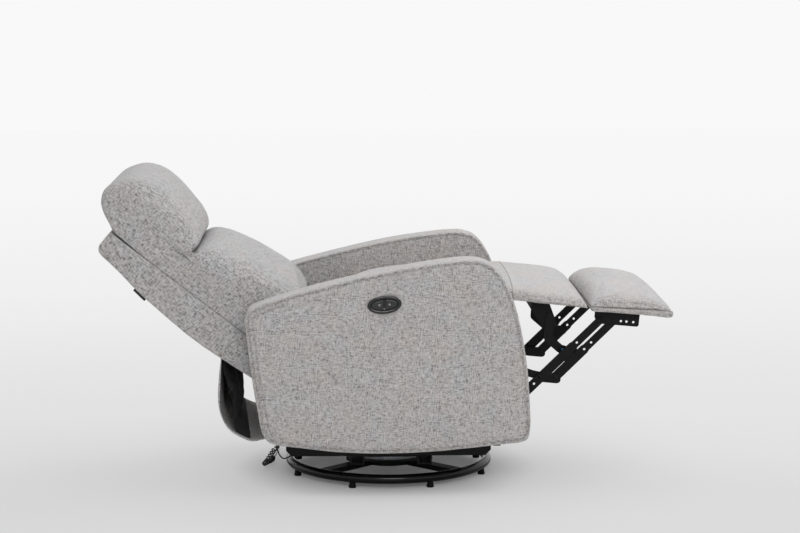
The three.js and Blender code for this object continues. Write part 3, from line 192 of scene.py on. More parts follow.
def make(name, verts, faces, place=CHAIR, smooth=True):
    """A mesh object from millimetre points in the group's own place; it keeps them as its cloth coordinates."""
    local = np.array(verts, float) / 1000
    turn = np.array(place.to_3x3())
    world = local @ turn.T + np.array(place.translation)
    mesh = bpy.data.meshes.new(name)
    mesh.from_pydata(world.tolist(), [], [tuple(int(i) for i in f) for f in faces])
    mesh.validate()
    stored = mesh.attributes.new("cloth_place", "FLOAT_VECTOR", "POINT")
    stored.data.foreach_set("vector", local.astype(np.float32).ravel())
    piece = bpy.data.objects.new(name, mesh)
    bpy.context.scene.collection.objects.link(piece)
    outward(piece)
    if smooth:
        mesh.shade_smooth()
    return piece


def outward(piece):
    """Turns the faces of a closed piece outwards."""
    bm = bmesh.new()
    bm.from_mesh(piece.data)
    bmesh.ops.recalc_face_normals(bm, faces=bm.faces)
    bm.to_mesh(piece.data)
    bm.free()


def dress(piece, material, body, finish, *nodes):
    """Gives a piece its material and the body it moves with, and hides the nodes it stands for; finish is not used."""
    piece.data.materials.clear()
    piece.data.materials.append(material)
    if nodes:
        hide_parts(*nodes)
    if body:
        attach(piece, body)
    return piece


def apply_all(piece):
    """Turns a piece's modifiers into its mesh."""
    graph = bpy.context.evaluated_depsgraph_get()
    mesh = bpy.data.meshes.new_from_object(piece.evaluated_get(graph))
    old = piece.data
    piece.modifiers.clear()
    piece.data = mesh
    bpy.data.meshes.remove(old)


# Materials

BLACK, WHITE = (0, 0, 0), (1, 1, 1)


class Nodes:
    """A material's node tree, built a node at a time."""

    def __init__(self, name):
        old = bpy.data.materials.get(name)
        self.material = old or bpy.data.materials.new(name)
        self.material.use_nodes = True
        self.tree = self.material.node_tree
        self.tree.nodes.clear()
        self.shader = self.add("ShaderNodeBsdfPrincipled")
        self.output = self.add("ShaderNodeOutputMaterial")
        self.tree.links.new(self.shader.outputs[0], self.output.inputs["Surface"])

    def add(self, kind, **settings):
        node = self.tree.nodes.new(kind)
        for key, value in settings.items():
            setattr(node, key, value)
        return node

    def put(self, target, value):
        if isinstance(value, bpy.types.NodeSocket):
            self.tree.links.new(value, target)
        else:
            target.default_value = value

    def math(self, operation, a, b=0.0):
        node = self.add("ShaderNodeMath", operation=operation)
        self.put(node.inputs[0], a)
        self.put(node.inputs[1], b)
        return node.outputs[0]

    def vector(self, operation, a, b=None):
        node = self.add("ShaderNodeVectorMath", operation=operation)
        self.put(node.inputs[0], a)
        if b is not None:
            self.put(node.inputs[1], b)
        return node.outputs["Value" if operation in ("LENGTH", "DOT_PRODUCT") else "Vector"]

    def stretched(self, vector, scale):
        return self.vector("MULTIPLY", vector, scale)

    def split(self, vector):
        node = self.add("ShaderNodeSeparateXYZ")
        self.put(node.inputs[0], vector)
        return node.outputs

    def grain(self, vector, scale=1.0, detail=2.0, roughness=0.5):
        node = self.add("ShaderNodeTexNoise")
        self.put(node.inputs["Vector"], vector)
        node.inputs["Scale"].default_value = scale
        node.inputs["Detail"].default_value = detail
        node.inputs["Roughness"].default_value = roughness
        return node.outputs[0]

    def ramp(self, value, *stops):
        node = self.add("ShaderNodeValToRGB")
        self.put(node.inputs[0], value)
        band = node.color_ramp
        while len(band.elements) < len(stops):
            band.elements.new(0.5)
        for element, (at, colour) in zip(band.elements, stops):
            element.position = at
            element.color = (*colour, 1) if len(colour) == 3 else colour
        return node.outputs[0]

    def mix(self, share, a, b, blend="MIX"):
        node = self.add("ShaderNodeMix", data_type="RGBA", blend_type=blend)
        self.put(node.inputs[0], share)
        self.put(node.inputs[6], a)
        self.put(node.inputs[7], b)
        return node.outputs[2]

    def relief(self, height, distance, strength, over=None):
        node = self.add("ShaderNodeBump")
        node.inputs["Strength"].default_value = strength
        node.inputs["Distance"].default_value = distance
        self.put(node.inputs["Height"], height)
        if over is not None:
            self.put(node.inputs["Normal"], over)
        return node.outputs[0]

    def set(self, **values):
        for key, value in values.items():
            self.put(self.shader.inputs[key.replace("_", " ")], value)


def upholstery(settings, name="cover_cloth", shade=1.0, bold=False):
    """Heather linen cloth: slubs along both threads, warm clouds, a fine weave, crushed veins and a painted top light
    where it faces up, and painted shade in its seams.
    """
    n = Nodes(name)
    place = n.add("ShaderNodeAttribute", attribute_name="cloth_place").outputs["Vector"]
    seam = n.add("ShaderNodeAttribute", attribute_name="seam").outputs["Fac"]
    wear_and_top_light = n.add("ShaderNodeAttribute", attribute_name="wear_and_top_light").outputs["Fac"]
    # Each thread is even across its width and changes along its length
    pitch, slubs = (0.0025, 74) if bold else (0.0027, 66)
    yarn = n.vector("SNAP", place, (pitch, pitch, pitch))
    along = n.split(n.stretched(place, (slubs, slubs, slubs)))
    steps = n.split(n.stretched(yarn, (1.056 / pitch,) * 3))

    def thread(axis):
        joined = n.add("ShaderNodeCombineXYZ")
        for k in range(3):
            n.put(joined.inputs[k], along[k] if k == axis else steps[k])
        return n.grain(joined.outputs[0], detail=1, roughness=0.6)

    level, sideways, upright = (thread(axis) for axis in range(3))
    speck = n.grain(place, 430, detail=1)
    shares = (0.37, 0.37, 0.12, 0.14) if bold else (0.31, 0.33, 0.2, 0.16)
    slub = n.math("MULTIPLY", upright, shares[0])
    for grain, share in zip((level, sideways, speck), shares[1:]):
        slub = n.math("ADD", slub, n.math("MULTIPLY", grain, share))
    cloud = n.grain(place, 34, detail=3, roughness=0.6)
    slub = n.math("ADD", slub, n.math("MULTIPLY", n.math("SUBTRACT", cloud, 0.5), 0.04 if bold else 0.08))
    light, dark, warm = (tuple(shade * x for x in c) for c in (settings.light, settings.dark, settings.fleck))
    middle = tuple(0.6 * a + 0.4 * b for a, b in zip(light, dark))
    # Painted top light: soft is the lighter, cooler tone the cloth takes where it faces up, partly its crushed pile and
    # partly light from above.
    soft = tuple((0.88 * a + 0.12 * b) * c for a, b, c in zip(light, dark, (0.99, 1.0, 1.012)))
    centre, spread = 0.485, 0.088 if bold else 0.115
    colour = n.ramp(slub, (centre - spread, dark), (centre, middle), (centre + spread, light))
    colour = n.mix(n.math("MULTIPLY", wear_and_top_light, 0.4), colour, (*soft, 1))
    patch = n.grain(place, 13, detail=3, roughness=0.6)
    cool, warmer = ((0.965, 1.0, 1.02), (1.012, 1.0, 0.99)) if bold else ((0.975, 0.998, 1.015), (1.03, 1.0, 0.975))
    tint = n.ramp(patch, (0.36, cool), (0.64, warmer))
    colour = n.mix(1.0, colour, tint, "MULTIPLY")
    thick = n.grain(place, 150, detail=3, roughness=0.7)
    fleck = n.ramp(thick, (0.53, BLACK), (0.66, WHITE))
    fleck = n.math("MULTIPLY", fleck, n.ramp(patch, (0.44, BLACK), (0.58, WHITE)))
    colour = n.mix(n.math("MULTIPLY", fleck, 0.3), colour, (*warm, 1))
    bent = n.grain(n.stretched(place, (30, 14, 22)), detail=5, roughness=0.62)
    vein = n.ramp(n.math("ABSOLUTE", n.math("SUBTRACT", bent, 0.5)), (0.0, WHITE), (0.022, BLACK))
    vein = n.math("MULTIPLY", vein, n.math("MINIMUM", n.math("MULTIPLY", wear_and_top_light, 2.0), 1.0))
    vein = n.math("MULTIPLY", vein, n.ramp(patch, (0.42, WHITE), (0.6, (0.1, 0.1, 0.1))))
    colour = n.mix(n.math("MULTIPLY", vein, 0.3), colour, (*dark, 1))
    # Painted shade: the cloth darkens towards half its dark thread in the grooves of its seams and of the back's crease
    # line.
    colour = n.mix(n.math("MULTIPLY", seam, 0.42), colour, (*(0.5 * c for c in dark), 1))
    weft = 5200
    waves = [n.math("SINE", axis) for axis in n.split(n.stretched(place, (weft, weft, weft)))]
    weave = n.math("ADD", n.math("MULTIPLY", waves[0], waves[2]), n.math("MULTIPLY", waves[1], 0.6))
    height = n.math("ADD", n.math("MULTIPLY", slub, 2.0), n.math("MULTIPLY", weave, 0.11))
    height = n.math("SUBTRACT", height, n.math("ADD", n.math("MULTIPLY", seam, 1.4), n.math("MULTIPLY", vein, 0.3)))
    n.set(
        Base_Color=colour,
        Roughness=0.94,
        Sheen_Weight=0.22,
        Sheen_Roughness=0.5,
        Sheen_Tint=(0.9, 0.9, 0.9, 1),
        Specular_IOR_Level=0.15,
        Normal=n.relief(height, 0.001, 0.8),
    )
    return n.material


def lining_cloth():
    """Thin black lining with a plain weave and soft creases."""
    n = Nodes("black_lining")
    place = n.add("ShaderNodeAttribute", attribute_name="cloth_place").outputs["Vector"]
    crease = n.grain(n.stretched(place, (9, 30, 9)), detail=4, roughness=0.6)
    thread = n.grain(n.stretched(place, (900, 900, 240)), detail=2)
    # Painted shade: the lining's colour darkens in the hollows of its creases, with the same noise that shapes them.
    colour = n.ramp(crease, (0.3, (0.0015, 0.0015, 0.0016)), (0.75, (0.009, 0.009, 0.0095)))
    height = n.math("ADD", n.math("MULTIPLY", crease, 3.0), n.math("MULTIPLY", thread, 0.5))
    n.set(
        Base_Color=colour,
        Roughness=0.8,
        Sheen_Weight=0.06,
        Sheen_Roughness=0.4,
        Specular_IOR_Level=0.2,
        Normal=n.relief(height, 0.002, 0.6),
    )
    return n.material


def black_steel(name, gloss, tone, shine, haze=0.16, edge=0.0012):
    """Black enamel on steel: faint orange peel, dust on it, and a lighter rubbed edge."""
    n = Nodes(name)
    place = n.add("ShaderNodeTexCoord").outputs["Object"]
    peel = n.grain(place, 900, detail=2)
    dust = n.grain(place, 45, detail=5, roughness=0.65)
    soft = n.add("ShaderNodeBevel", samples=4)
    soft.inputs["Radius"].default_value = edge
    geometry = n.add("ShaderNodeNewGeometry")
    bend = n.vector("DOT_PRODUCT", soft.outputs[0], geometry.outputs["Normal"])
    rub = n.ramp(bend, (0.86, WHITE), (0.985, BLACK))
    base = n.ramp(dust, (0.35, (tone, tone, tone * 1.04)), (0.8, (tone * 2.1, tone * 2.1, tone * 2.15)))
    colour = n.mix(n.math("MULTIPLY", rub, 0.25), base, (0.03, 0.03, 0.031, 1))
    rough = n.math("ADD", n.math("MULTIPLY", dust, haze), gloss)
    peeled = n.relief(peel, 0.0004, 0.25, over=soft.outputs[0])
    n.set(Base_Color=colour, Metallic=0.0, Roughness=rough, Specular_IOR_Level=shine, Normal=peeled)
    return n.material


def zinc_plate():
    """Bright zinc on steel, with a fine brushed grain."""
    n = Nodes("zinc_plate")
    place = n.add("ShaderNodeTexCoord").outputs["Object"]
    brushed = n.grain(n.stretched(place, (60, 1500, 60)), detail=3)
    mottle = n.grain(place, 70, detail=3)
    colour = n.ramp(mottle, (0.3, (0.33, 0.34, 0.36)), (0.7, (0.52, 0.53, 0.54)))
    rough = n.math("ADD", n.math("MULTIPLY", brushed, 0.25), 0.28)
    n.set(Base_Color=colour, Metallic=1.0, Roughness=rough, Normal=n.relief(brushed, 0.0003, 0.4))
    return n.material


def moulded(name, tone, rough, grain=0.0003, shine=0.5):
    """Black moulded plastic or rubber with a fine spark grain."""
    n = Nodes(name)
    place = n.add("ShaderNodeTexCoord").outputs["Object"]
    spark = n.grain(place, 1400, detail=3)
    haze = n.grain(place, 90, detail=3)
    colour = n.ramp(haze, (0.35, (tone, tone, tone)), (0.75, (tone * 1.8, tone * 1.8, tone * 1.85)))
    n.set(
        Base_Color=colour,
        Roughness=n.math("ADD", n.math("MULTIPLY", haze, 0.14), rough),
        Specular_IOR_Level=shine,
        Normal=n.relief(spark, grain, 0.5),
    )
    return n.material


def stained_timber():
    """Dark-stained sawn timber for the hidden frame."""
    n = Nodes("stained_timber")
    place = n.add("ShaderNodeTexCoord").outputs["Object"]
    bent = n.grain(n.stretched(place, (3, 3, 22)), detail=4, roughness=0.6)
    rings = n.grain(n.stretched(place, (9, 9, 160)), detail=4, roughness=0.7)
    mixed = n.math("ADD", n.math("MULTIPLY", bent, 0.5), n.math("MULTIPLY", rings, 0.5))
    colour = n.ramp(mixed, (0.32, (0.026, 0.02, 0.015)), (0.5, (0.045, 0.036, 0.027)), (0.68, (0.07, 0.057, 0.043)))
    n.set(Base_Color=colour, Roughness=0.75, Normal=n.relief(rings, 0.0006, 0.5))
    return n.material


def plain(name, colour, rough=0.6):
    """A small plain finish, with a faint mottle."""
    n = Nodes(name)
    place = n.add("ShaderNodeTexCoord").outputs["Object"]
    mottle = n.grain(place, 300, detail=2)
    low = tuple(0.8 * c for c in colour)
    n.set(Base_Color=n.ramp(mottle, (0.35, low), (0.65, tuple(colour))), Roughness=rough)
    return n.material


# Sizes and colours that a user would change


class ClothSettings(bpy.types.PropertyGroup):
    light: FloatVectorProperty(
        name="Light thread",
        description="Colour of the pale threads",
        subtype="COLOR",
        size=3,
        default=(0.575, 0.558, 0.548),
        min=0,
        max=1,
    )
    dark: FloatVectorProperty(
        name="Dark thread",
        description="Colour of the dark slubs",
        subtype="COLOR",
        size=3,
        default=(0.18, 0.167, 0.163),
        min=0,
        max=1,
    )
    fleck: FloatVectorProperty(
        name="Fleck",
        description="Warm flecks in the cloth",
        subtype="COLOR",
        size=3,
        default=(0.25, 0.20, 0.18),
        min=0,
        max=1,
    )
    puff: FloatProperty(
        name="Puff", description="Air pressure that fills the cushions", default=3.0, min=0.0, max=8.0
    )
    cap: FloatProperty(
        name="Most swell",
        description="How far the filling may push the cloth",
        default=0.007,
        min=0.0,
        max=0.03,
        unit="LENGTH",
        subtype="DISTANCE",
    )


class FormSettings(bpy.types.PropertyGroup):
    outline_points: IntProperty(
        name="Outline points", description="Points round a cushion's section", default=132, min=24, max=400
    )
    ring_sides: IntProperty(
        name="Ring sides", description="Points round the tube of the ring base", default=28, min=8, max=96
    )
    ring_steps: IntProperty(
        name="Ring steps", description="Steps round the ring base", default=160, min=24, max=400
    )


class StudioSettings(bpy.types.PropertyGroup):
    lens: FloatProperty(
        name="Lens", description="Focal length on a 36 mm sensor", default=98.28, min=10, max=400, unit="CAMERA"
    )
    floor_tone: FloatVectorProperty(
        name="Floor",
        description="Colour of the studio floor",
        subtype="COLOR",
        size=3,
        default=(0.74, 0.74, 0.74),
        min=0,
        max=1,
    )
    key_power: FloatProperty(
        name="Key light", description="Power of the large soft lamp overhead", default=64, min=0, max=2000, unit="POWER"
    )


def settings():
    return bpy.context.scene.recliner_cloth, bpy.context.scene.recliner_forms, bpy.context.scene.recliner_studio


# Stuffed pieces

# How a stuffed piece swells between its sides: share of half its width, share of its crown
CROWN_SHARES = ((-1, 0.3), (-0.985, 0.4), (-0.94, 0.52), (-0.84, 0.7), (-0.62, 0.87), (-0.3, 0.97), (0, 1))
CROWN = through(CROWN_SHARES, 200, closed=False)
FILL_FRAMES = 14


def crown_at(share):
    return np.interp(-abs(share), CROWN[:, 0], CROWN[:, 1])


def across_steps(width, edge, count):
    """Places across a piece: close together round its two edges, even between them."""
    round_off = [edge * (1 - math.cos(math.pi / 2 * k / 7)) for k in range(8)]
    inner = np.linspace(round_off[-1], width - round_off[-1], count)[1:-1]
    return [*round_off, *inner, *(width - d for d in reversed(round_off))]


def stuffed(name, width, section, edge=20, count=44, place=CHAIR, bulge=4):
    """A crowned cushion.

    section(crown, side) gives its outline at a share of its half width, and how much of the rounding each point takes.
    """

    def outline_at(d):
        side = 2 * d / width - 1
        outline, takes = section(crown_at(side), side)
        near = min(d, width - d)
        inset = edge - math.sqrt(max(edge**2 - (edge - near) ** 2, 0)) if near < edge else 0
        return drawn_in(outline, inset * takes)

    first, last = outline_at(0), outline_at(width)
    fan = (0.06, 0.2, 0.36, 0.52, 0.68, 0.82, 0.93)
    rings = [seated(first.mean(axis=0) * (1 - s) + first * s, -width / 2 - bulge * (1 - s**2)) for s in fan]
    rings += [seated(outline_at(d), d - width / 2) for d in across_steps(width, edge, count)]
    rings += [seated(last.mean(axis=0) * (1 - s) + last * s, width / 2 + bulge * (1 - s**2)) for s in reversed(fan)]
    verts, faces = ringed(rings)
    return make(name, verts, faces, place)


def fill(piece, held, cap=None):
    """Fills a stuffed piece with air as real cloth: held(point) is from 0, free, to 1, fixed. Its swell is capped."""
    cloth = settings()[0]
    pressure = cloth.puff
    cap = cloth.cap if cap is None else cap
    if pressure <= 0:
        return piece
    before = np.array([v.co for v in piece.data.vertices])
    group = piece.vertex_groups.new(name="held")
    for v, co in zip(piece.data.vertices, before):
        weight = held(co)
        if weight > 0:
            group.add([v.index], min(weight, 1.0), "REPLACE")
    modifier = piece.modifiers.new("air", "CLOTH")
    air = modifier.settings
    air.use_pressure = True
    air.uniform_pressure_force = pressure
    air.effector_weights.gravity = 0
    air.vertex_group_mass = "held"
    air.quality = 4
    air.mass = 0.35
    air.tension_stiffness = 25
    air.compression_stiffness = 8
    air.shear_stiffness = 8
    air.bending_stiffness = 0.6
    air.air_damping = 2
    modifier.collision_settings.use_collision = False
    scene = bpy.context.scene
    modifier.point_cache.frame_start = 1
    modifier.point_cache.frame_end = FILL_FRAMES
    for step in range(1, FILL_FRAMES + 1):
        scene.frame_set(step)
    graph = bpy.context.evaluated_depsgraph_get()
    mesh = piece.evaluated_get(graph).to_mesh()
    after = np.array([v.co for v in mesh.vertices])
    piece.evaluated_get(graph).to_mesh_clear()
    piece.modifiers.clear()
    piece.vertex_groups.clear()
    scene.frame_set(1)
    if len(after) != len(before) or not np.isfinite(after).all():
        raise RuntimeError(piece.name + " came apart while it was filled")
    moved = after - before
    far = np.linalg.norm(moved, axis=1)
    far[far == 0] = 1
    moved *= (cap * np.tanh(far / cap) / far)[:, None]
    # The foam keeps its size, so the mean swell of the free cloth comes off again
    normals = np.array([v.normal for v in piece.data.vertices])
    free = 1 - np.clip([held(co) for co in before], 0, 1)
    swell = np.sum(np.sum(moved * normals, axis=1) * free) / max(np.sum(free), 1)
    moved -= normals * (swell * free)[:, None]
    piece.data.vertices.foreach_set("co", (before + moved).ravel())
    piece.data.update()
    return piece


def crease(piece, soft, seam=None, depth=1.3, wear_and_top_light_gain=1.0):
    """Moves each point along its normal, in millimetres: out by soft(place, normal), in where seam(place) is near 1.

    wear_and_top_light_gain says how much lighter the cloth is painted where it faces up, a painted top light, and how
    strongly its crushed veins show there.
    """
    mesh = piece.data
    place = np.zeros(len(mesh.vertices) * 3, np.float32)
    mesh.attributes["cloth_place"].data.foreach_get("vector", place)
    place = place.reshape(-1, 3) * 1000
    normals = np.array([v.normal for v in mesh.vertices])
    co = np.array([v.co for v in mesh.vertices])
    drawn = np.array([seam(p) for p in place]) if seam else np.zeros(len(place))
    amount = np.array([soft(p, n) for p, n in zip(place, normals)]) - depth * drawn
    mesh.vertices.foreach_set("co", (co + normals * amount[:, None] / 1000).ravel())
    # The seam share is also kept for the cloth's painted shade in its grooves.
    stored = mesh.attributes.new("seam", "FLOAT", "POINT")
    stored.data.foreach_set("value", drawn.astype(np.float32))
    # Where the cloth faces up it is painted lighter, a painted top light, and shows its crushed veins.
    stored = mesh.attributes.new("wear_and_top_light", "FLOAT", "POINT")
    stored.data.foreach_set("value", (wear_and_top_light_gain * np.clip((normals[:, 2] - 0.42) / 0.5, 0, 1)).astype(np.float32))
    mesh.update()


def rumple(p, size, depth, seed=0.0):
    """Soft unevenness of cloth over its filling."""
    v = Vector(p) / size + Vector((seed, seed * 1.7, -seed))
    return depth * (noise.noise(v) + 0.45 * noise.noise(v * 2.3))


def kept_between(piece, reach):
    """Keeps a piece between the arms: no point stands further out than reach, in millimetres."""
    for v in piece.data.vertices:
        v.co.y = max(min(v.co.y, reach / 1000), -reach / 1000)
    piece.data.update()


def groove(distance, width):
    """How strongly a seam draws the cloth in at a distance from it, from 0 to 1."""
    return math.exp(-((distance / width) ** 2))


# The back, measured up from its hinge and forwards of it
SHELL = {"behind": 173, "start": 42, "end": 609, "low": 103, "high": 64, "corner": 24, "crease": 400, "bow": 11}
SHELL_BOW_SHARES = (
    (0, -1.55),
    (0.1, -0.87),
    (0.2, -0.12),
    (0.29, 0.5),
    (0.4, 0.9),
    (0.52, 1),
    (0.66, 1),
    (0.74, 0.8),
    (0.82, 0.36),
    (0.91, 0.08),
    (1, 0),
)
PILLOW = {"top": 700, "front": 99, "rear": 101}
TAB = {"low": 413, "high": 456, "proud": 9, "y": -262}
LUMBAR_FRONT = 132
BACK_WIDTH = 540
# Each row: share of the height, share of the depth where the crown is nil, and what the crown adds
LUMBAR_SHARES = (
    (0.995, 0.3, 0.16),
    (0.985, 0.38, 0.24),
    (0.95, 0.44, 0.3),
    (0.89, 0.475, 0.335),
    (0.8, 0.505, 0.355),
    (0.63, 0.565, 0.36),
    (0.48, 0.6, 0.36),
    (0.32, 0.63, 0.36),
    (0.18, 0.62, 0.36),
    (0.08, 0.59, 0.32),
    (0.02, 0.5, 0.24),
    (0, 0.3, 0.1),
)
PILLOW_SHARES = (
    (0.3, 0, 0),
    (0.66, 0, 0),
    (0.76, 0.03, 0),
    (0.87, 0.09, 0),
    (0.95, 0.18, 0),
    (1, 0.33, 0),
    (0.973, 0.47, 0.05),
    (0.893, 0.566, 0.2),
    (0.763, 0.586, 0.34),
    (0.573, 0.572, 0.4),
    (0.347, 0.537, 0.4),
    (0.117, 0.473, 0.38),
    (0.03, 0.42, 0.32),
    (0.008, 0.35, 0.2),
)
# Where the counts of points change round the section, and the points of each stretch
BACK_PARTS = ((0, 36), (4, 36), (9, 48), (14, 26), (17, 22), (20, 54), (26, 24))


def shell_front(up):
    """How far forward the shell's front face stands at a height up the back."""
    share = (up - SHELL["start"]) / (SHELL["end"] - SHELL["start"])
    return -SHELL["behind"] + SHELL["low"] + (SHELL["high"] - SHELL["low"]) * share


def shell_rear(up):
    """Where the shell's bowed rear face stands at a height up the back."""
    share = (up - SHELL["start"]) / (SHELL["end"] - SHELL["start"])
    return -SHELL["behind"] - SHELL["bow"] * np.interp(share, *zip(*SHELL_BOW_SHARES))


def pillow_rear(up):
    return max(shell_front(min(up, SHELL["end"])) + 0.2, -PILLOW["rear"])


def back_section(crown, side):
    """Lumbar cushion and head pillow in one line, with the crease between them dying out at the sides."""
    depth = LUMBAR_FRONT - shell_front(SHELL["start"])
    rows = [(shell_front(z) + 0.2, z) for z in (SHELL["start"], 221, 386)]
    for up, edge, rise in PILLOW_SHARES:
        z = SHELL["crease"] + up * (PILLOW["top"] - SHELL["crease"])
        rear = pillow_rear(z)
        rows.append((rear + (edge + rise * crown) * (PILLOW["front"] - rear), z))
    z = SHELL["crease"] - 0.2
    rows.append((shell_front(z) + (0.24 + 0.1 * crown) * depth, z))
    for up, edge, rise in LUMBAR_SHARES:
        z = SHELL["start"] + up * (SHELL["crease"] - SHELL["start"])
        rows.append((shell_front(z) + 0.2 + (edge + rise * crown) * depth, z))
    # Towards the sides the crease fills up to a straight line between the two cushions
    open_share = min(max((1 - abs(side)) / 0.1, 0), 1)
    open_share = open_share**2 * (3 - 2 * open_share)
    (low_x, low_z), (high_x, high_z) = rows[20], rows[14]
    for k in range(15, 20):
        x, z = rows[k]
        filled = low_x + (high_x - low_x) * (z - low_z) / (high_z - low_z)
        rows[k] = (x * open_share + filled * (1 - open_share), z)
    line = parted(rows, BACK_PARTS)
    front = np.array([pillow_rear(z) for z in line[:, 1]])
    low = line[:, 1] < SHELL["end"] + 0.5
    line[low, 0] = np.maximum(line[low, 0], front[low])
    takes = np.clip((line[:, 0] - front) / 60, 0, 1)
    head = np.clip((line[:, 1] - SHELL["end"]) / 50, 0, 1) * 0.45
    return line, np.maximum(takes, head)


def shell_outline(points=120):
    b, e, c = SHELL["behind"], SHELL["end"], SHELL["corner"]
    rear = [(shell_rear(z), z) for z in np.linspace(e - c - 6, SHELL["start"], 30)]
    front = [(shell_front(z) - 0.2, z) for z in np.linspace(SHELL["start"] + 3, e - 3, 16)]
    top = [(shell_front(e) - 3, e)]
    arc = [(-b + c * (1 + math.cos(a)), e - c * (1 - math.sin(a))) for a in np.linspace(math.pi / 2, math.pi, 6)]
    rows = np.array([*front, *top, *arc, *rear], float)
    return spaced(np.vstack([rows, rows[:1]]), points, False)


# Where the rings of a boxed form's ends lie, as shares of the way out from their middle: plain, and close together
END_FAN = (0.04, 0.15, 0.28, 0.42, 0.56, 0.69, 0.8, 0.89, 0.955)
ARM_FAN = (
    *(0.03, 0.1, 0.18, 0.27, 0.36, 0.45, 0.54, 0.63, 0.71),
    *(0.78, 0.84, 0.885, 0.915, 0.935, 0.95, 0.965, 0.98, 0.992),
)


def boxed(name, outline, low, high, edge, place=CHAIR, crowns=(0, 0), count=10, fan=END_FAN):
    """A boxed form: an outline carried across from low to high, with rounded edges and crowned ends."""
    turns = [math.pi / 2 * k / 5 for k in range(6)]
    inner = drawn_in(outline, edge)
    centre = inner.mean(axis=0)
    rings = [seated(centre + (inner - centre) * s, low - crowns[0] * (1 - s**3)) for s in fan]
    rounds = [(drawn_in(outline, edge * (1 - math.sin(a))), edge * (1 - math.cos(a))) for a in turns]
    rings += [seated(ring, low + depth) for ring, depth in rounds]
    rings += [seated(outline, y) for y in np.linspace(low + edge, high - edge, count)[1:-1]]
    rings += [seated(ring, high - depth) for ring, depth in reversed(rounds)]
    rings += [seated(centre + (inner - centre) * s, high + crowns[1] * (1 - s**3)) for s in reversed(fan)]
    verts, faces = ringed(rings)
    return make(name, verts, faces, place)


# The arms, and their side outline as shares of their length and height
ARM = {"rear": 405, "length": 786, "bottom": 121, "height": 539, "inner": 283, "outer": 380, "crown": 5, "edge": 8}
ARM_SHARES = (
    (0.06, 0.105),
    (0.083, 0.061),
    (0.2, 0.03),
    (0.35, 0.006),
    (0.506, 0),
    (0.7, 0.013),
    (0.9, 0.044),
    (0.968, 0.055),
    (0.991, 0.072),
    (1, 0.13),
    (0.998, 0.25),
    (0.989, 0.42),
    (0.969, 0.61),
    (0.943, 0.765),
    (0.915, 0.865),
    (0.885, 0.935),
    (0.852, 0.976),
    (0.81, 0.995),
    (0.75, 0.995),
    (0.65, 0.978),
    (0.5, 0.942),
    (0.316, 0.881),
    (0.15, 0.817),
    (0.05, 0.769),
    (0.016, 0.745),
    (0.001, 0.7),
    (0.006, 0.62),
    (0.02, 0.44),
    (0.043, 0.23),
)
SWITCH = {"x": -22, "z": 538, "tilt": math.radians(5.6), "length": 94, "height": 49, "face": 385}
SWITCH_RIM = (
    (9, -9.7),
    (9, -2),
    (0.6, 0.3),
    (0, 0.8),
    (0.2, 1.7),
    (1.4, 2.6),
    (3.6, 3.0),
    (6.2, 2.7),
    (8.6, 1.5),
    (9.8, -0.5),
    (10, -3),
    (10.2, -9),
)
# The buttons: how much smaller than the switch they are, half the gap between them, and their marks' place
BUTTON = {"less": 20.8, "gap": 2.6, "mark": 14}


def arm_outline(points):
    rows = [(-ARM["rear"] + a * ARM["length"], ARM["bottom"] + b * ARM["height"]) for a, b in ARM_SHARES]
    return through(rows, points)


def oval(length, height, count):
    """An oval about the switch's middle, tilted as the switch is."""
    t = SWITCH["tilt"]
    a = np.linspace(0, 2 * math.pi, count, endpoint=False)
    x, z = length / 2 * np.cos(a), height / 2 * np.sin(a)
    across = SWITCH["x"] + x * math.cos(t) - z * math.sin(t)
    up = SWITCH["z"] + x * math.sin(t) + z * math.cos(t)
    return np.column_stack([across, up])


def along_outline(outline, p):
    """Distance from a point to the outline."""
    return np.min(np.hypot(outline[:, 0] - p[0], outline[:, 1] - p[2]))


class Step:
    """What the operators share."""

    bl_options = {"REGISTER", "UNDO"}


class RECLINER_OT_arms(Step, bpy.types.Operator):
    """Boxed arms with crowned panels, corded edges and a topstitched rear seam"""

    bl_idname = "recliner.arms"
    bl_label = "Arms"

    def execute(self, context):
        cover = upholstery(settings()[0])
        outline = arm_outline(300)
        coarse = outline[::3]
        for word, side in WAYS:
            low, high = ARM["inner"] + 1, ARM["outer"]
            ends = (low, high) if side > 0 else (-high, -low)
            crowns = (1, ARM["crown"]) if side > 0 else (ARM["crown"], 1)
            arm = boxed("arm_" + word + "_cover", outline, *ends, ARM["edge"], crowns=crowns, count=12, fan=ARM_FAN)

            def soft(p, n, side=side):
                return rumple(p, 150, 0.9, side * 3.1) + rumple(p, 40, 0.25, 7)

            def seam(p):
                out = abs(p[1])
                if high - 1.5 >= out >= low + 1.5:
                    return 0
                inside = along_outline(coarse, p)
                drawn = groove(inside - ARM["edge"] - 3, 2.4)
                if p[0] + ARM["rear"] < 110:
                    drawn = max(drawn, 0.8 * groove(inside - 22, 2.2))
                return drawn

            crease(arm, soft, seam)
            if side < 0:
                pocket(arm)
            dress(arm, cover, "chassis", "cover_fabric", "arm_" + word)
        return {"FINISHED"}


def pocket(arm):
    """Cuts the switch's oval pocket in the near arm."""
    ring = oval(SWITCH["length"] - 9, SWITCH["height"] - 9, 64)
    verts, faces = ringed([seated(ring, -SWITCH["face"] + 14), seated(ring, -SWITCH["face"] - 8)])
    tool = make("pocket_tool", verts, faces)
    cut = arm.modifiers.new("pocket", "BOOLEAN")
    cut.operation = "DIFFERENCE"
    cut.solver = "EXACT"
    cut.object = tool
    apply_all(arm)
    bpy.data.objects.remove(tool)
    arm.data.shade_smooth()


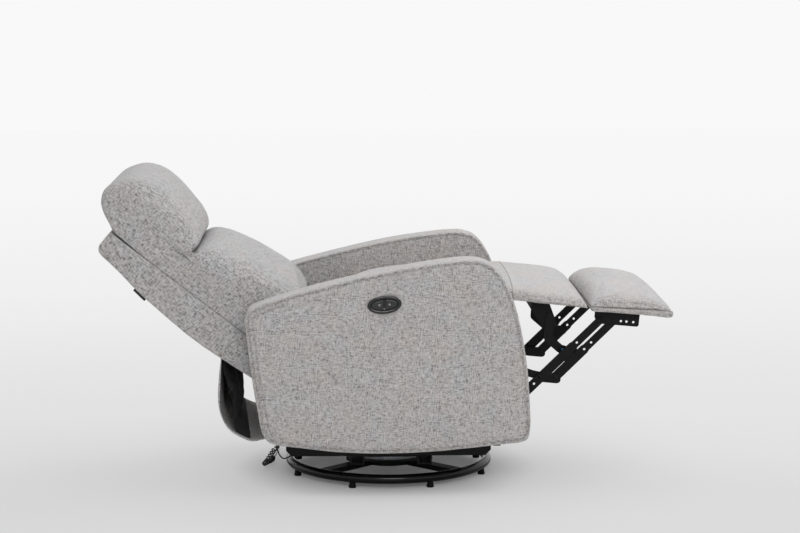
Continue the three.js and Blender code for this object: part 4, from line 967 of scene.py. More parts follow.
class RECLINER_OT_back(Step, bpy.types.Operator):
    """The laid-back back: a boxed shell, a crowned lumbar cushion and a head pillow with a deep crease between"""

    bl_idname = "recliner.back"
    bl_label = "Back"

    def execute(self, context):
        # The back's cloth is woven bolder and painted at 0.96 of the cover's brightness, a painted shade on the
        # laid-back pieces.
        cover = upholstery(settings()[0], "cover_cloth_back", 0.96, bold=True)
        half = BACK_WIDTH / 2
        shell = boxed("back_shell_cover", shell_outline(260), -half, half, 2.6, BACK, (1.5, 1.5), 40)
        crease(
            shell,
            lambda p, n: rumple(p, 120, 0.8, 2) * np.clip((shell_front(p[2]) - p[0]) / 30, 0, 1),
            lambda p: 0.7 * groove(abs(abs(p[1]) - half + 9), 2.2),
        )
        dress(shell, cover, "back", "cover_fabric", "back_shell")

        cushion = stuffed("back_cushion_cover", BACK_WIDTH - 9, back_section, 34, 50, place=BACK, bulge=3)

        def held(co):
            local = BACK.inverted() @ Vector(co) * 1000
            near = local.x - pillow_rear(local.z)
            fold = math.exp(-(((local.z - SHELL["crease"]) / 16) ** 2))
            side = max(0, abs(local.y) - half + 16) / 14
            back = 1.0 if near < 4 and local.z < SHELL["end"] + 20 else max(0.0, 0.45 - near / 60)
            return min(max(back, fold, side), 1.0)

        fill(cushion, held)

        def soft(p, n):
            off = p[2] - SHELL["crease"]
            gather = math.exp(-((off / (58 if off > 0 else 36)) ** 2)) * (1.5 if off > 0 else 0.9)
            fold = noise.noise(Vector((p[1] / 17, p[2] / 120, 2.7 if off > 0 else 8.1)))
            away = np.clip((p[0] - pillow_rear(p[2])) / 30, 0, 1) if p[2] < SHELL["end"] else 1
            return (rumple(p, 92, 1.5, 5) + rumple(p, 30, 0.3, 9) + gather * fold) * away

        def seam(p):
            side = min(max((abs(p[1]) - 225) / 25, 0), 1)
            along = np.interp(p[0], (-50, -22, 10, 60, 80), (0, 0.5, 1, 1, 0))
            line = np.interp(p[0], (-24, -10, 26, 55, 93), (410, 404, 398.5, 401, 412))
            return side * along * groove(p[2] - line, 4.5)

        crease(cushion, soft, seam, 3.5)
        dress(cushion, cover, "back", "cover_fabric", "back_cushion", "head_pillow")
        self.label()
        return {"FINISHED"}

    def label(self):
        """A small bare woven label, folded double and sewn in at the rear edge of the shell."""
        rows = []
        for up in np.linspace(TAB["low"], TAB["high"], 15):
            rear = shell_rear(up) + 1.5
            fold = rear - TAB["proud"]
            wave = 0.7 * math.sin(up / 7.0)
            loop = [(rear, -0.9), (fold + 1, -0.95), (fold, 0), (fold + 1, 0.95), (rear, 0.9)]
            rows.append([(x, TAB["y"] + y + wave, up) for x, y in loop])
        verts, faces = ringed([np.array(ring) for ring in rows])
        label = make("woven_label", verts, faces, BACK)
        dress(label, plain("label_weave", (0.01, 0.01, 0.011), 0.7), "back", "lining", "back_tab")


# Seat and footrest
SEAT = {"rear": -138, "front": 337, "width": 560, "deck": 453.9, "height": 143}
SEAT_SHARES = (
    (0.03, 0, 0),
    (0.35, 0, 0),
    (0.7, 0, 0),
    (0.97, 0, 0),
    (1, 0.12, 0.06),
    (1, 0.36, 0.2),
    (1, 0.6, 0.25),
    (1, 0.66, 0.255),
    (0.997, 0.669, 0.256),
    (0.95, 0.66, 0.27),
    (0.87, 0.56, 0.39),
    (0.7, 0.51, 0.43),
    (0.45, 0.47, 0.41),
    (0.2, 0.4, 0.36),
    (0.06, 0.34, 0.28),
    (0, 0.26, 0.18),
    (0, 0.12, 0.06),
)
BRIDGE = {"front": 549, "rear": 337.6, "width": 560, "rear_z": 533, "drop": 25, "crown": 64}
BRIDGE_SHARES = (
    (0, 0, 0),
    (0.33, 0, 0),
    (0.67, 0, 0),
    (1, 0, 0),
    (1, 0.12, 0.06),
    (0.95, 0.19, 0.28),
    (0.86, 0.235, 0.45),
    (0.7, 0.25, 0.54),
    (0.45, 0.26, 0.57),
    (0.2, 0.26, 0.57),
    (0.04, 0.26, 0.57),
    (0.005, 0.26, 0.57),
    (0, 0.252, 0.565),
    (0, 0.1, 0.2),
)
OTTOMAN = {"behind": 76, "ahead": 157, "width": 560, "board_low": 33.3, "board": 19, "crown": 63}
OTTOMAN_SHARES = (
    (0, 0, 0),
    (0.33, 0, 0),
    (0.67, 0, 0),
    (0.945, 0, 0),
    (0.958, 0.08, 0.02),
    (0.92, 0.12, 0.16),
    (0.85, 0.15, 0.36),
    (0.75, 0.165, 0.53),
    (0.6, 0.17, 0.62),
    (0.4, 0.18, 0.64),
    (0.24, 0.18, 0.61),
    (0.12, 0.15, 0.5),
    (0.04, 0.11, 0.28),
    (0, 0.06, 0.04),
)


def takes_rounding(height, full):
    """How much of a side's rounding a point takes at a height over the flat foot of its cushion."""
    return np.clip(height / full, 0.08, 1)


def rolled(line, side, foot, share):
    """Rolls the top of a joint with its neighbour down towards the sides, where the section isn't drawn in."""
    near = (1 - abs(side)) * SEAT["width"] / 2
    edge = 16
    drop = edge - math.sqrt(max(edge**2 - (edge - near) ** 2, 0)) if near < edge else 0
    line[:, 1] -= drop * share * np.clip((line[:, 1] - foot) / 25, 0, 1)


def seat_section(crown, side):
    rows = [
        (SEAT["rear"] + a * (SEAT["front"] - SEAT["rear"]), SEAT["deck"] + (e + r * crown) * SEAT["height"])
        for a, e, r in SEAT_SHARES
    ]
    points = settings()[1].outline_points
    line = parted(rows, ((0, points // 2), (7, 1), (8, points - points // 2 - 1)))
    line[:, 0] = np.minimum(line[:, 0], SEAT["front"])
    line[:, 1] = np.maximum(line[:, 1], SEAT["deck"])
    share = np.clip((SEAT["front"] - line[:, 0]) / 30, 0, 1)
    rolled(line, side, SEAT["deck"], 1 - share)
    return line, takes_rounding(line[:, 1] - SEAT["deck"], 50) * share


def off_joint(x):
    """Nil where the seat cushion and the bridge pad meet, 1 a little away from there."""
    return float(np.clip(abs(x - SEAT["front"]) / 28, 0, 1))


def bridge_foot(x):
    return BRIDGE["rear_z"] - BRIDGE["drop"] * (x - BRIDGE["rear"]) / (BRIDGE["front"] - BRIDGE["rear"])


def bridge_section(crown, side):
    length = BRIDGE["front"] - BRIDGE["rear"]
    rows = []
    for a, e, r in BRIDGE_SHARES:
        x = BRIDGE["rear"] + a * length
        rows.append((x, bridge_foot(x) + (e + r * crown) * BRIDGE["crown"]))
    points = settings()[1].outline_points
    line = parted(rows, ((0, points * 3 // 4), (11, 1), (12, points - points * 3 // 4 - 1)))
    line[:, 0] = np.clip(line[:, 0], BRIDGE["rear"], BRIDGE["front"])
    foot = bridge_foot(line[:, 0])
    line[:, 1] = np.maximum(line[:, 1], foot)
    share = np.clip((line[:, 0] - BRIDGE["rear"]) / 30, 0, 1)
    rolled(line, side, foot, 1 - share)
    return line, takes_rounding(line[:, 1] - foot, 22) * share


def pad_sag(x):
    """How far the footrest pad sags over its board at a place along it."""
    return 8 * (1 - np.clip((x + OTTOMAN["behind"]) / (OTTOMAN["behind"] + OTTOMAN["ahead"]), 0, 1))


def ottoman_section(crown, side):
    foot = OTTOMAN["board_low"] + OTTOMAN["board"] + 0.5
    length = OTTOMAN["behind"] + OTTOMAN["ahead"]
    rows = [(-OTTOMAN["behind"] + a * length, foot + (e + r * crown) * OTTOMAN["crown"]) for a, e, r in OTTOMAN_SHARES]
    line = through(rows, settings()[1].outline_points)
    line[:, 1] = np.maximum(line[:, 1], foot)
    takes = takes_rounding(line[:, 1] - foot, 18)
    line[:, 1] -= pad_sag(line[:, 0]) * np.clip(1 - (line[:, 1] - foot) / 30, 0, 1)
    return line, takes


class RECLINER_OT_seat(Step, bpy.types.Operator):
    """The seat cushion and the pad that bridges it to the footrest"""

    bl_idname = "recliner.seat"
    bl_label = "Seat and bridge pad"

    def execute(self, context):
        cover = upholstery(settings()[0])
        seat = stuffed("seat_cushion_cover", SEAT["width"], seat_section, 22, 46)
        fill(seat, lambda co: 1.0 if co[2] * 1000 < SEAT["deck"] + 6 else 1 - off_joint((co[0] - SWIVEL.x) * 1000))
        crease(seat, lambda p, n: (rumple(p, 110, 1.6, 3) + rumple(p, 32, 0.3, 6)) * off_joint(p[0]))
        dress(seat, cover, "chassis", "cover_fabric", "seat_cushion")
        pad = stuffed("bridge_pad_cover", BRIDGE["width"], bridge_section, 16, 46)

        def held(co):
            x = (co[0] - SWIVEL.x) * 1000
            return 1.0 if co[2] * 1000 < bridge_foot(x) + 3 else 1 - off_joint(x)

        fill(pad, held, cap=0.005)
        # Painted top light: the bridge pad's up-facing cloth gets 1.7 times the painted top light and veins.
        crease(pad, lambda p, n: (rumple(p, 90, 1.3, 13) + rumple(p, 30, 0.3, 8)) * off_joint(p[0]), wear_and_top_light_gain=1.7)
        dress(pad, cover, "chassis", "cover_fabric", "bridge_pad")
        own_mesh(pad)
        return {"FINISHED"}


class RECLINER_OT_footrest(Step, bpy.types.Operator):
    """The footrest's crowned pad on its covered board"""

    bl_idname = "recliner.footrest"
    bl_label = "Footrest"

    def execute(self, context):
        cover = upholstery(settings()[0])
        pad = stuffed("footrest_pad", OTTOMAN["width"], ottoman_section, 16, 46, place=FOOTREST)

        def held(co):
            local = FOOTREST.inverted() @ Vector(co) * 1000
            return 1.0 if local.z < OTTOMAN["board_low"] + OTTOMAN["board"] + 4 else 0.0

        fill(pad, held, cap=0.006)
        # Painted top light: the footrest pad's up-facing cloth gets 1.7 times the painted top light and veins.
        crease(pad, lambda p, n: rumple(p, 90, 1.4, 17) + rumple(p, 30, 0.3, 2), wear_and_top_light_gain=1.7)
        kept_between(pad, 281)
        dress(pad, cover, "ottoman", "cover_fabric", "ottoman_pad")
        low, high = OTTOMAN["board_low"], OTTOMAN["board_low"] + OTTOMAN["board"]
        rows = through(
            [
                (-OTTOMAN["behind"], low + 6),
                (-OTTOMAN["behind"] + 5, low),
                (-OTTOMAN["behind"] + 60, low),
                (OTTOMAN["ahead"] - 60, low),
                (OTTOMAN["ahead"] - 5, low + 0.5),
                (OTTOMAN["ahead"], low + 7),
                (OTTOMAN["ahead"] - 3, high - 1),
                (OTTOMAN["ahead"] - 60, high - 2),
                (-OTTOMAN["behind"] + 60, high - 6),
                (-OTTOMAN["behind"] + 2, high - 9),
            ],
            140,
        )
        board = boxed("footrest_board", rows, -OTTOMAN["width"] / 2, OTTOMAN["width"] / 2, 4, FOOTREST, (1, 1), 40)
        crease(board, lambda p, n: rumple(p, 60, 0.5, 23))
        dress(board, cover, "ottoman", "cover_fabric", "ottoman_board")
        return {"FINISHED"}


# The hanging flap behind the seat: its line from the shell down and under to the rear rail
FLAP = {"width": 536, "thick": 3.2, "fold": 4, "folds": 3, "hem": 13, "foot": (-330, 145.7), "slack": 50}
FLAP_SHARES = (
    (0.998, 1),
    (1.02, 0.8),
    (1.04, 0.5),
    (1.02, 0.33),
    (0.93, 0.18),
    (0.79, 0.07),
    (0.62, 0.005),
    (0.42, -0.045),
    (0.23, -0.03),
    (0.1, -0.005),
)


# How far the slack lining stands forward, by its height: shares of the drop and of the slack
LINING_SHARES = (
    *((0, 0), (0.02, 0.03), (0.1, 0.3), (0.2, 0.75), (0.32, 0.97)),
    *((0.45, 1), (0.62, 0.92), (0.8, 0.66), (0.93, 0.24), (1, 0)),
)
# How far in from each side of the flap the lining begins, as a share of the flap's width
LINING_INSET = 0.028


def flap_line(share, count):
    """The flap's own line at a share of its width, in the chair's X-Z plane."""
    up = SHELL["start"] + (SHELL["end"] - SHELL["start"]) * 0.185
    top = BACK @ (Vector((shell_rear(up) - 4.6, 0, up)) / 1000)
    top = ((top.x - SWIVEL.x) * 1000, top.z * 1000)
    foot = FLAP["foot"]
    rows = []
    for a, b in FLAP_SHARES:
        sway = math.sin(share * math.pi * 2 * FLAP["folds"]) * FLAP["fold"] * 4 * b * (1 - b) if b > 0 else 0
        rows.append((foot[0] - a * (foot[0] - top[0]) - sway, foot[1] + b * (top[1] - foot[1])))
    return through([*rows, foot], count, closed=False)


def lining_line(share, count):
    """The slack lining's line in front of the cloth: sewn to it at the top and at its foot, looser low at the sides."""
    line = flap_line(LINING_INSET + 0.944 * share, 160)
    end = -414 - 17 * (2 * share - 1)
    line = spaced(line[: int(np.argmax(line[:, 0] > end)) + 1], count)
    slack = math.sin(math.pi * min(max(share, 0), 1)) ** 0.55
    rise = (line[:, 1] - FLAP["foot"][1]) / (line[0, 1] - FLAP["foot"][1])
    slack = np.maximum(slack, np.interp(rise, (0, 0.6, 0.88, 1), (0.72, 0.72, 0.1, 0)))
    forward = np.interp(rise, *zip(*LINING_SHARES)) * np.clip((end - line[:, 0]) / 30, 0, 1) * FLAP["slack"] * slack
    crumple = np.array([rumple((z, share * FLAP["width"], 0), 60, 2.2, 31) for z in line[:, 1]])
    crumple *= np.clip(forward / 20, 0, 1)
    return line + off_line(line, FLAP["thick"] + 1.6) + np.column_stack([forward + crumple, np.zeros(len(line))])


def cloth_sheet(name, shares, lines, thick, inner):
    """A sheet of cloth from its lines at shares of the width, and its flat size; inner(share) is its inner material."""
    verts, faces, kinds = [], [], []
    steps, rows = len(lines) - 1, len(lines[0])
    for side in (0, 1):
        for share, line in zip(shares, lines):
            verts += list(seated(line + off_line(line, thick) * side, (share - 0.5) * FLAP["width"]))
    size = (steps + 1) * rows

    def at(side, i, j):
        return side * size + i * rows + j

    for i in range(steps):
        for j in range(rows - 1):
            faces.append((at(0, i, j), at(0, i + 1, j), at(0, i + 1, j + 1), at(0, i, j + 1)))
            faces.append((at(1, i, j), at(1, i, j + 1), at(1, i + 1, j + 1), at(1, i + 1, j)))
            kinds += [0, inner((shares[i] + shares[i + 1]) / 2)]
    for j in range(rows - 1):
        faces += [(at(0, 0, j), at(0, 0, j + 1), at(1, 0, j + 1), at(1, 0, j))]
        faces += [(at(0, steps, j), at(1, steps, j), at(1, steps, j + 1), at(0, steps, j + 1))]
    for i in range(steps):
        faces += [(at(0, i, 0), at(1, i, 0), at(1, i + 1, 0), at(0, i + 1, 0))]
        faces += [(at(0, i, rows - 1), at(0, i + 1, rows - 1), at(1, i + 1, rows - 1), at(1, i, rows - 1))]
    kinds += [0] * (len(faces) - len(kinds))
    piece = make(name, verts, faces)
    piece.data.polygons.foreach_set("material_index", kinds)
    flat = np.mean([length_of(line) for line in lines])
    return piece, (float(shares[-1] - shares[0]) * FLAP["width"] / 1000, float(flat) / 1000)


class RECLINER_OT_flap(Step, bpy.types.Operator):
    """The cloth flap that hangs behind the seat, and its slack black lining"""

    bl_idname = "recliner.flap"
    bl_label = "Rear flap"

    def execute(self, context):
        cover, black = upholstery(settings()[0]), lining_cloth()
        # Painted shade: the flap's inner face is the cover cloth at 0.42 of its brightness, standing in for the shade
        # inside the flap.
        shaded_cover = upholstery(settings()[0], "cover_cloth_painted_shade", 0.42)
        shares = np.linspace(0, 1, 65)
        lines = [flap_line(s, 64) for s in shares]

        def inner(share):
            return 0 if min(share, 1 - share) * FLAP["width"] < FLAP["hem"] else 1

        flap, flat = cloth_sheet("rear_flap_cloth", shares, lines, FLAP["thick"], inner)
        hem = FLAP["width"] / 2 - FLAP["hem"]
        crease(flap, lambda p, n: rumple(p, 70, 0.8, 29), lambda p: 0.8 * groove(hem - abs(p[1]), 1.8), 0.6)
        dress(flap, cover, None, "lining", "rear_flap")
        flap.data.materials.append(shaded_cover)
        inside = np.linspace(LINING_INSET, 0.972, 49)
        drop = [lining_line((s - LINING_INSET) / 0.944, 54) for s in inside]
        lining, lining_flat = cloth_sheet("rear_flap_lining", inside, drop, 1.2, lambda share: 0)
        dress(lining, black, None, "lining")
        for piece in (flap, lining):
            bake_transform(piece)
        return {"FINISHED"}


# Steelwork
RING = {"diameter": 600, "tube": 27, "foot": 14.2, "foot_d": 21, "foot_top": 17, "feet": 8}


def turned(name, profile, count, centre, axis="Z"):
    """A turned piece: radius and height pairs about an axis."""
    a = np.linspace(0, 2 * math.pi, count, endpoint=False)
    rings = []
    for r, h in profile:
        ring = np.column_stack([r * np.cos(a), r * np.sin(a), np.full(count, float(h))])
        if axis == "Y":
            ring = ring[:, [0, 2, 1]]
        rings.append(ring + np.array(centre))
    return make(name, *ringed(rings))


def stud(name, shape, count, side, x, z, face):
    """A fixing turned across the chair, its shape measured out from the face that it stands on."""
    profile = [(r, side * (face + h + 0.25)) for r, h in shape]
    return turned(name, profile, count, (x, 0, z), axis="Y")


class RECLINER_OT_base(Step, bpy.types.Operator):
    """The ring base: a glossy round tube on small feet"""

    bl_idname = "recliner.base"
    bl_label = "Ring base"

    def execute(self, context):
        forms = settings()[1]
        gloss = black_steel("ring_enamel", 0.04, 0.0013, 0.23, 0.05)
        radius = (RING["diameter"] - RING["tube"]) / 2
        z = RING["foot"] + 0.3 + RING["tube"] / 2
        turns = np.linspace(0, 2 * math.pi, forms.ring_steps, endpoint=False)
        around = np.linspace(0, 2 * math.pi, forms.ring_sides, endpoint=False)
        verts, faces = [], []
        for a in turns:
            for b in around:
                r = radius + RING["tube"] / 2 * math.cos(b)
                verts.append((r * math.cos(a), r * math.sin(a), z + RING["tube"] / 2 * math.sin(b)))
        m = forms.ring_sides
        for i in range(forms.ring_steps):
            for j in range(m):
                after, above = (i + 1) % forms.ring_steps, (j + 1) % m
                faces.append((i * m + j, after * m + j, after * m + above, i * m + above))
        dress(make("ring_tube", verts, faces), gloss, "base", "base_enamel", "base_ring")
        rubber = moulded("foot_rubber", 0.002, 0.6, shine=0.12)
        wide, narrow, height = RING["foot_d"] / 2, RING["foot_top"] / 2, RING["foot"]
        profile = (
            (wide - 1.5, 0),
            (wide, 1.2),
            (wide, height / 2 - 1),
            (wide - 1, height / 2),
            (narrow, height),
            (narrow, z),
        )
        for i in range(RING["feet"]):
            a = (i + 0.5) / RING["feet"] * 2 * math.pi
            foot = turned("ring_foot_%d" % (i + 1), profile, 32, (radius * math.cos(a), radius * math.sin(a), 0))
            dress(foot, rubber, "base", "base_enamel")
        return {"FINISHED"}


# Rivet heads: the body that carries each, its place and the face it stands on; a bolt's place and face
RIVETS = (
    ("twin", 423.5, 305.5, 230.5),
    ("twin", 586, 464, 230.5),
    ("front_lower", 465.5, 303.5, 223),
    ("ottoman", 628, 462, 223),
)
BOLT = (487, 380, 205)
# The pressed web: the upper link's pivot, its slope, the web's faces, and its outline along and out from the pivot
WEB = {"x": 465.5, "z": 303.5, "slope": math.radians(44.3), "faces": (217.4, 218.6)}
WEB_OUTLINE = ((50, 9), (50, 24), (54, 27), (80, 27), (84, 23), (84, 9))
# The fixings' shapes, as radius and height over the face
DOMED = ((0.5, 1.5), (3.6, 1.35), (5.4, 0.9), (6.3, 0.3), (6.5, 0), (6.5, -0.2), (0.5, -0.2))
HEXED = ((0.5, 4.4), (4.6, 4.4), (5.6, 3.9), (5.8, 0), (5.8, -0.2), (0.5, -0.2))
DAB = ((0.3, 5.2), (2.4, 5.1), (3.6, 4.9), (4.1, 4.7), (4.1, 4.4), (0.3, 4.4))
PAIRED_STEEL = (
    "mech_rail front_post hinge_post back_strap lower_link_front lower_link_rear upper_link twin_link bridge_arm "
    "ottoman_bracket"
).split()
SINGLE_STEEL = (
    "base_cross swivel_plate_lower swivel_plate_upper cross_rail_front cross_rail_rear front_tube rear_tube "
    "torque_tube bridge_bar"
).split()
STEEL_NODES = [*SINGLE_STEEL, *(name + "_" + word for name in PAIRED_STEEL for word, _ in WAYS)]
TIMBER_NODES = "side_rail_near side_rail_far bottom_rail_front bottom_rail_rear seat_deck".split()


def paint(names, material):
    """A finish on the frame's own pieces."""
    for name in names:
        mesh = frame["nodes"][name].data
        mesh.materials.clear()
        mesh.materials.append(material)


class RECLINER_OT_steel(Step, bpy.types.Operator):
    """Finishes of the links, rails, timber and drive, and the rivets and bolts on the links"""

    bl_idname = "recliner.steel"
    bl_label = "Steel and timber"

    def execute(self, context):
        steel = black_steel("link_enamel", 0.32, 0.003, 0.15)
        zinc = zinc_plate()
        plastic = moulded("drive_plastic", 0.010, 0.42)
        paint(STEEL_NODES, steel)
        paint(TIMBER_NODES, stained_timber())
        paint(["bearing_race", "swivel_bolt", "actuator_rail"], zinc)
        paint(["actuator_motor", "actuator_block"], plastic)
        paint(["lead_gland"], moulded("gland_rubber", 0.008, 0.5))
        paint(["seat_apron"], plain("black_webbing", (0.012, 0.012, 0.012), 0.85))
        self.fixings(steel)
        return {"FINISHED"}

    def fixings(self, steel):
        """Rivets at the links' pivots, a bolt with a dab of blue paint, and the pressed web along the upper link."""
        blue = plain("paint_mark", (0.01, 0.13, 0.28), 0.45)
        c, s = math.cos(WEB["slope"]), math.sin(WEB["slope"])
        web = np.array([(WEB["x"] + along * c - out * s, WEB["z"] + along * s + out * c) for along, out in WEB_OUTLINE])
        x, z, face = BOLT
        for word, side in WAYS:
            for k, (body, *at) in enumerate(RIVETS):
                dress(stud("rivet_%s_%d" % (word, k + 1), DOMED, 28, side, *at), steel, body, "frame_steel")
            dress(stud("link_bolt_" + word, HEXED, 6, side, x, z, face), steel, "upper", "frame_steel")
            if side < 0:
                dress(stud("paint_dab", DAB, 14, side, x - 0.6, z + 1.2, face), blue, "upper", "frame_steel")
            ends = sorted(side * y for y in WEB["faces"])
            plate = make("link_web_" + word, *ringed([seated(web, y) for y in ends]), smooth=False)
            dress(plate, steel, "upper", "frame_steel")


class RECLINER_OT_switch(Step, bpy.types.Operator):
    """The oval switch: a glossy dished rim and two buttons with plain triangles"""

    bl_idname = "recliner.switch"
    bl_label = "Switch"

    def execute(self, context):
        shiny = moulded("switch_gloss", 0.006, 0.04, 0.00002)
        matt = moulded("switch_button", 0.010, 0.22)
        pale = plain("switch_print", (0.32, 0.32, 0.32), 0.5)
        face, long, high = SWITCH["face"], SWITCH["length"], SWITCH["height"]
        rings = [seated(oval(long - 2 * d, high - 2 * d, 96), -face - out) for d, out in SWITCH_RIM]
        rings += [seated(oval((long - 21) * s, (high - 21) * s, 96), -face + 9.4) for s in (0.98, 0.6, 0.2)]
        dress(make("switch_rim", *ringed(rings)), shiny, "chassis", "switch_gloss", "switch_bezel")
        middle_x, middle_z, t = SWITCH["x"], SWITCH["z"], SWITCH["tilt"]
        whole = oval(long - BUTTON["less"], high - BUTTON["less"], 240)
        for word, end in (("rear", -1), ("front", 1)):
            body = "button_" + word
            half = [tuple(p) for p in whole if (p[0] - middle_x) * end > BUTTON["gap"]]
            half.sort(key=lambda p: math.atan2(p[1] - middle_z, (p[0] - middle_x) * end))
            straight = middle_x + BUTTON["gap"] * end
            line = np.array([(straight, half[0][1]), *half, (straight, half[-1][1])])
            if end < 0:
                line = line[::-1]
            line = spaced(np.vstack([line, line[:1]]), 120, False)
            centre = line.mean(axis=0)
            top = drawn_in(line, 1.1)
            levels = ((0, -4.2), (0, 0.4), (0.35, 1.1), (1.1, 1.6))
            rings = [seated(drawn_in(line, d), -face - out) for d, out in levels]
            rings += [seated(centre + (top - centre) * s, -face - 1.6 - 0.2 * (1 - s)) for s in (0.8, 0.5, 0.2)]
            dress(make(body, *ringed(rings)), matt, body, "black_plastic", "switch_button_" + word)
            cx, cz = middle_x + end * BUTTON["mark"] * math.cos(t), middle_z + end * BUTTON["mark"] * math.sin(t)
            tri = np.array([(cx - 4.2, cz - 2.6 * end), (cx + 4.2, cz - 2.6 * end), (cx, cz + 3.6 * end)])
            fine = np.vstack([np.linspace(tri[k], tri[(k + 1) % 3], 6, endpoint=False) for k in range(3)])
            mark = ringed([seated(fine, -face - 1.5), seated(fine, -face - 2.05)])
            dress(make("button_mark_" + word, *mark), pale, body, "black_plastic")
        return {"FINISHED"}


# The supply lead, in millimetres: out of the gland, the droop, the line of the curls, the end
LEAD = {"diameter": 4.0, "curl": 16.0, "pitch": 15.0}
AXIS_POINTS = 600
CURL_POINTS = 16
# The rear and front ends of the rail that the gland hangs from, in X and Z
DRIVE_RAIL = (-250, 182), (232, 128)
CURL_ROUTE = (
    (-325, -90, 84),
    (-334, -68, 66),
    (-347, -38, 40),
    (-359, -8, 17),
    (-363, 12, 9),
    (-356, 30, 9),
    (-346, 52, 9),
    (-338, 90, 9),
    (-335, 108, 9),
)
LEAD_ROUTE = (
    (-214, -22, 112),
    (-240, -60, 92),
    (-266, -90, 70),
    (-290, -106, 54),
    (-306, -110, 50),
    (-317, -106, 60),
    (-324, -96, 76),
)
END_ROUTE = ((-335, 108, 9), (-331, 165, 6), (-330, 200, 6), (-330, 236, 6))


def gland_points():
    """The gland's exit under the motor and its direction, from the frame's own pieces."""
    low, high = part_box("lead_gland")
    rear, front = DRIVE_RAIL
    slope = math.atan2(front[1] - rear[1], front[0] - rear[0])
    out = Vector((math.sin(slope), 0, -math.cos(slope)))
    middle = (low + high) / 2
    middle = Vector(((middle.x - SWIVEL.x) * 1000, middle.y * 1000, middle.z * 1000))
    face = middle + out * 6.0
    return [tuple(face + out * d) for d in (0.3, 4.0, 8.0)]


class RECLINER_OT_lead(Step, bpy.types.Operator):
    """The curly supply lead, from the gland under the motor to its plug on the floor"""

    bl_idname = "recliner.lead"
    bl_label = "Supply lead"

    def execute(self, context):
        rubber = moulded("lead_rubber", 0.007, 0.3)
        first = through([*gland_points(), *LEAD_ROUTE], 26, closed=False)
        axis = through(CURL_ROUTE, AXIS_POINTS, closed=False)
        last = through(END_ROUTE, 12, closed=False)
        length = length_of(axis)
        curls = round(length / LEAD["pitch"])
        radius = (LEAD["curl"] - LEAD["diameter"]) / 2
        tangents = directions(axis)
        normal = np.cross(tangents[0], (0, 0, 1.0))
        normal /= np.linalg.norm(normal)
        points = list(first[:-1])
        total = curls * CURL_POINTS
        # The curls are pulled apart where the lead hangs, and closer where it lies
        places, spread = (0, 25, 120, 140, length - 40, length), (2.2, 1.6, 1.6, 0.95, 0.95, 2.4)
        apart = 1 / np.interp(np.linspace(0, length, AXIS_POINTS), places, spread)
        wound = np.cumsum(apart) / np.sum(apart)
        for i in range(total + 1):
            k = min(int(np.interp(i / total, wound, np.arange(AXIS_POINTS))), AXIS_POINTS - 1)
            t = tangents[k]
            normal = normal - t * np.dot(normal, t)
            normal /= np.linalg.norm(normal)
            other = np.cross(t, normal)
            ease = min(1, i / 20, (total - i) / 26)
            a = i / total * curls * 2 * math.pi
            c = axis[k] + radius * ease * (normal * math.cos(a) + other * math.sin(a))
            c[2] = max(c[2], LEAD["diameter"] / 2 + 0.3)
            points.append(c)
        points += list(last[1:])
        points = np.array(points)
        real = length_of(points) / 1000
        curve = bpy.data.curves.new("supply_lead_wire", "CURVE")
        curve.dimensions = "3D"
        curve.bevel_depth = LEAD["diameter"] / 2000
        curve.bevel_resolution = 3
        curve.use_fill_caps = True
        spline = curve.splines.new("POLY")
        spline.points.add(len(points) - 1)
        spline.use_smooth = True
        for slot, p in zip(spline.points, points):
            slot.co = (*(CHAIR @ (Vector(p) / 1000)), 1)
        wire = bpy.data.objects.new("supply_lead_wire", curve)
        context.scene.collection.objects.link(wire)
        dress(wire, rubber, "chassis", "black_rubber", "supply_lead")
        end = points[-1]
        profile = ((0.5, 0), (4, 0), (4.6, 2), (5.2, 9), (6, 11), (6, 32.5), (5.2, 34), (0.5, 34))
        plug = turned("supply_plug_body", profile, 40, (end[0], end[1] + 0.3, end[2] + 0.3), axis="Y")
        dress(plug, moulded("plug_plastic", 0.008, 0.35), "chassis", "black_plastic", "supply_plug")
        return {"FINISHED"}


# The studio floor: how far its glow, seen only by the camera, takes over from its lit shading by the distance from the
# chair, and the glow's tone by the distance. The glow is painted light that thins the chair's shadow on the floor.
FLOOR_FADE = ((0.05, 0.1), (0.09, 0.64), (0.2, 0.78), (0.6, 1))
FLOOR_TONES = (
    *((0.03, 0.69), (0.06, 0.745), (0.1, 0.775), (0.19, 0.822)),
    *((0.3, 0.866), (0.47, 0.905), (0.62, 0.924), (1.0, 0.935)),
)


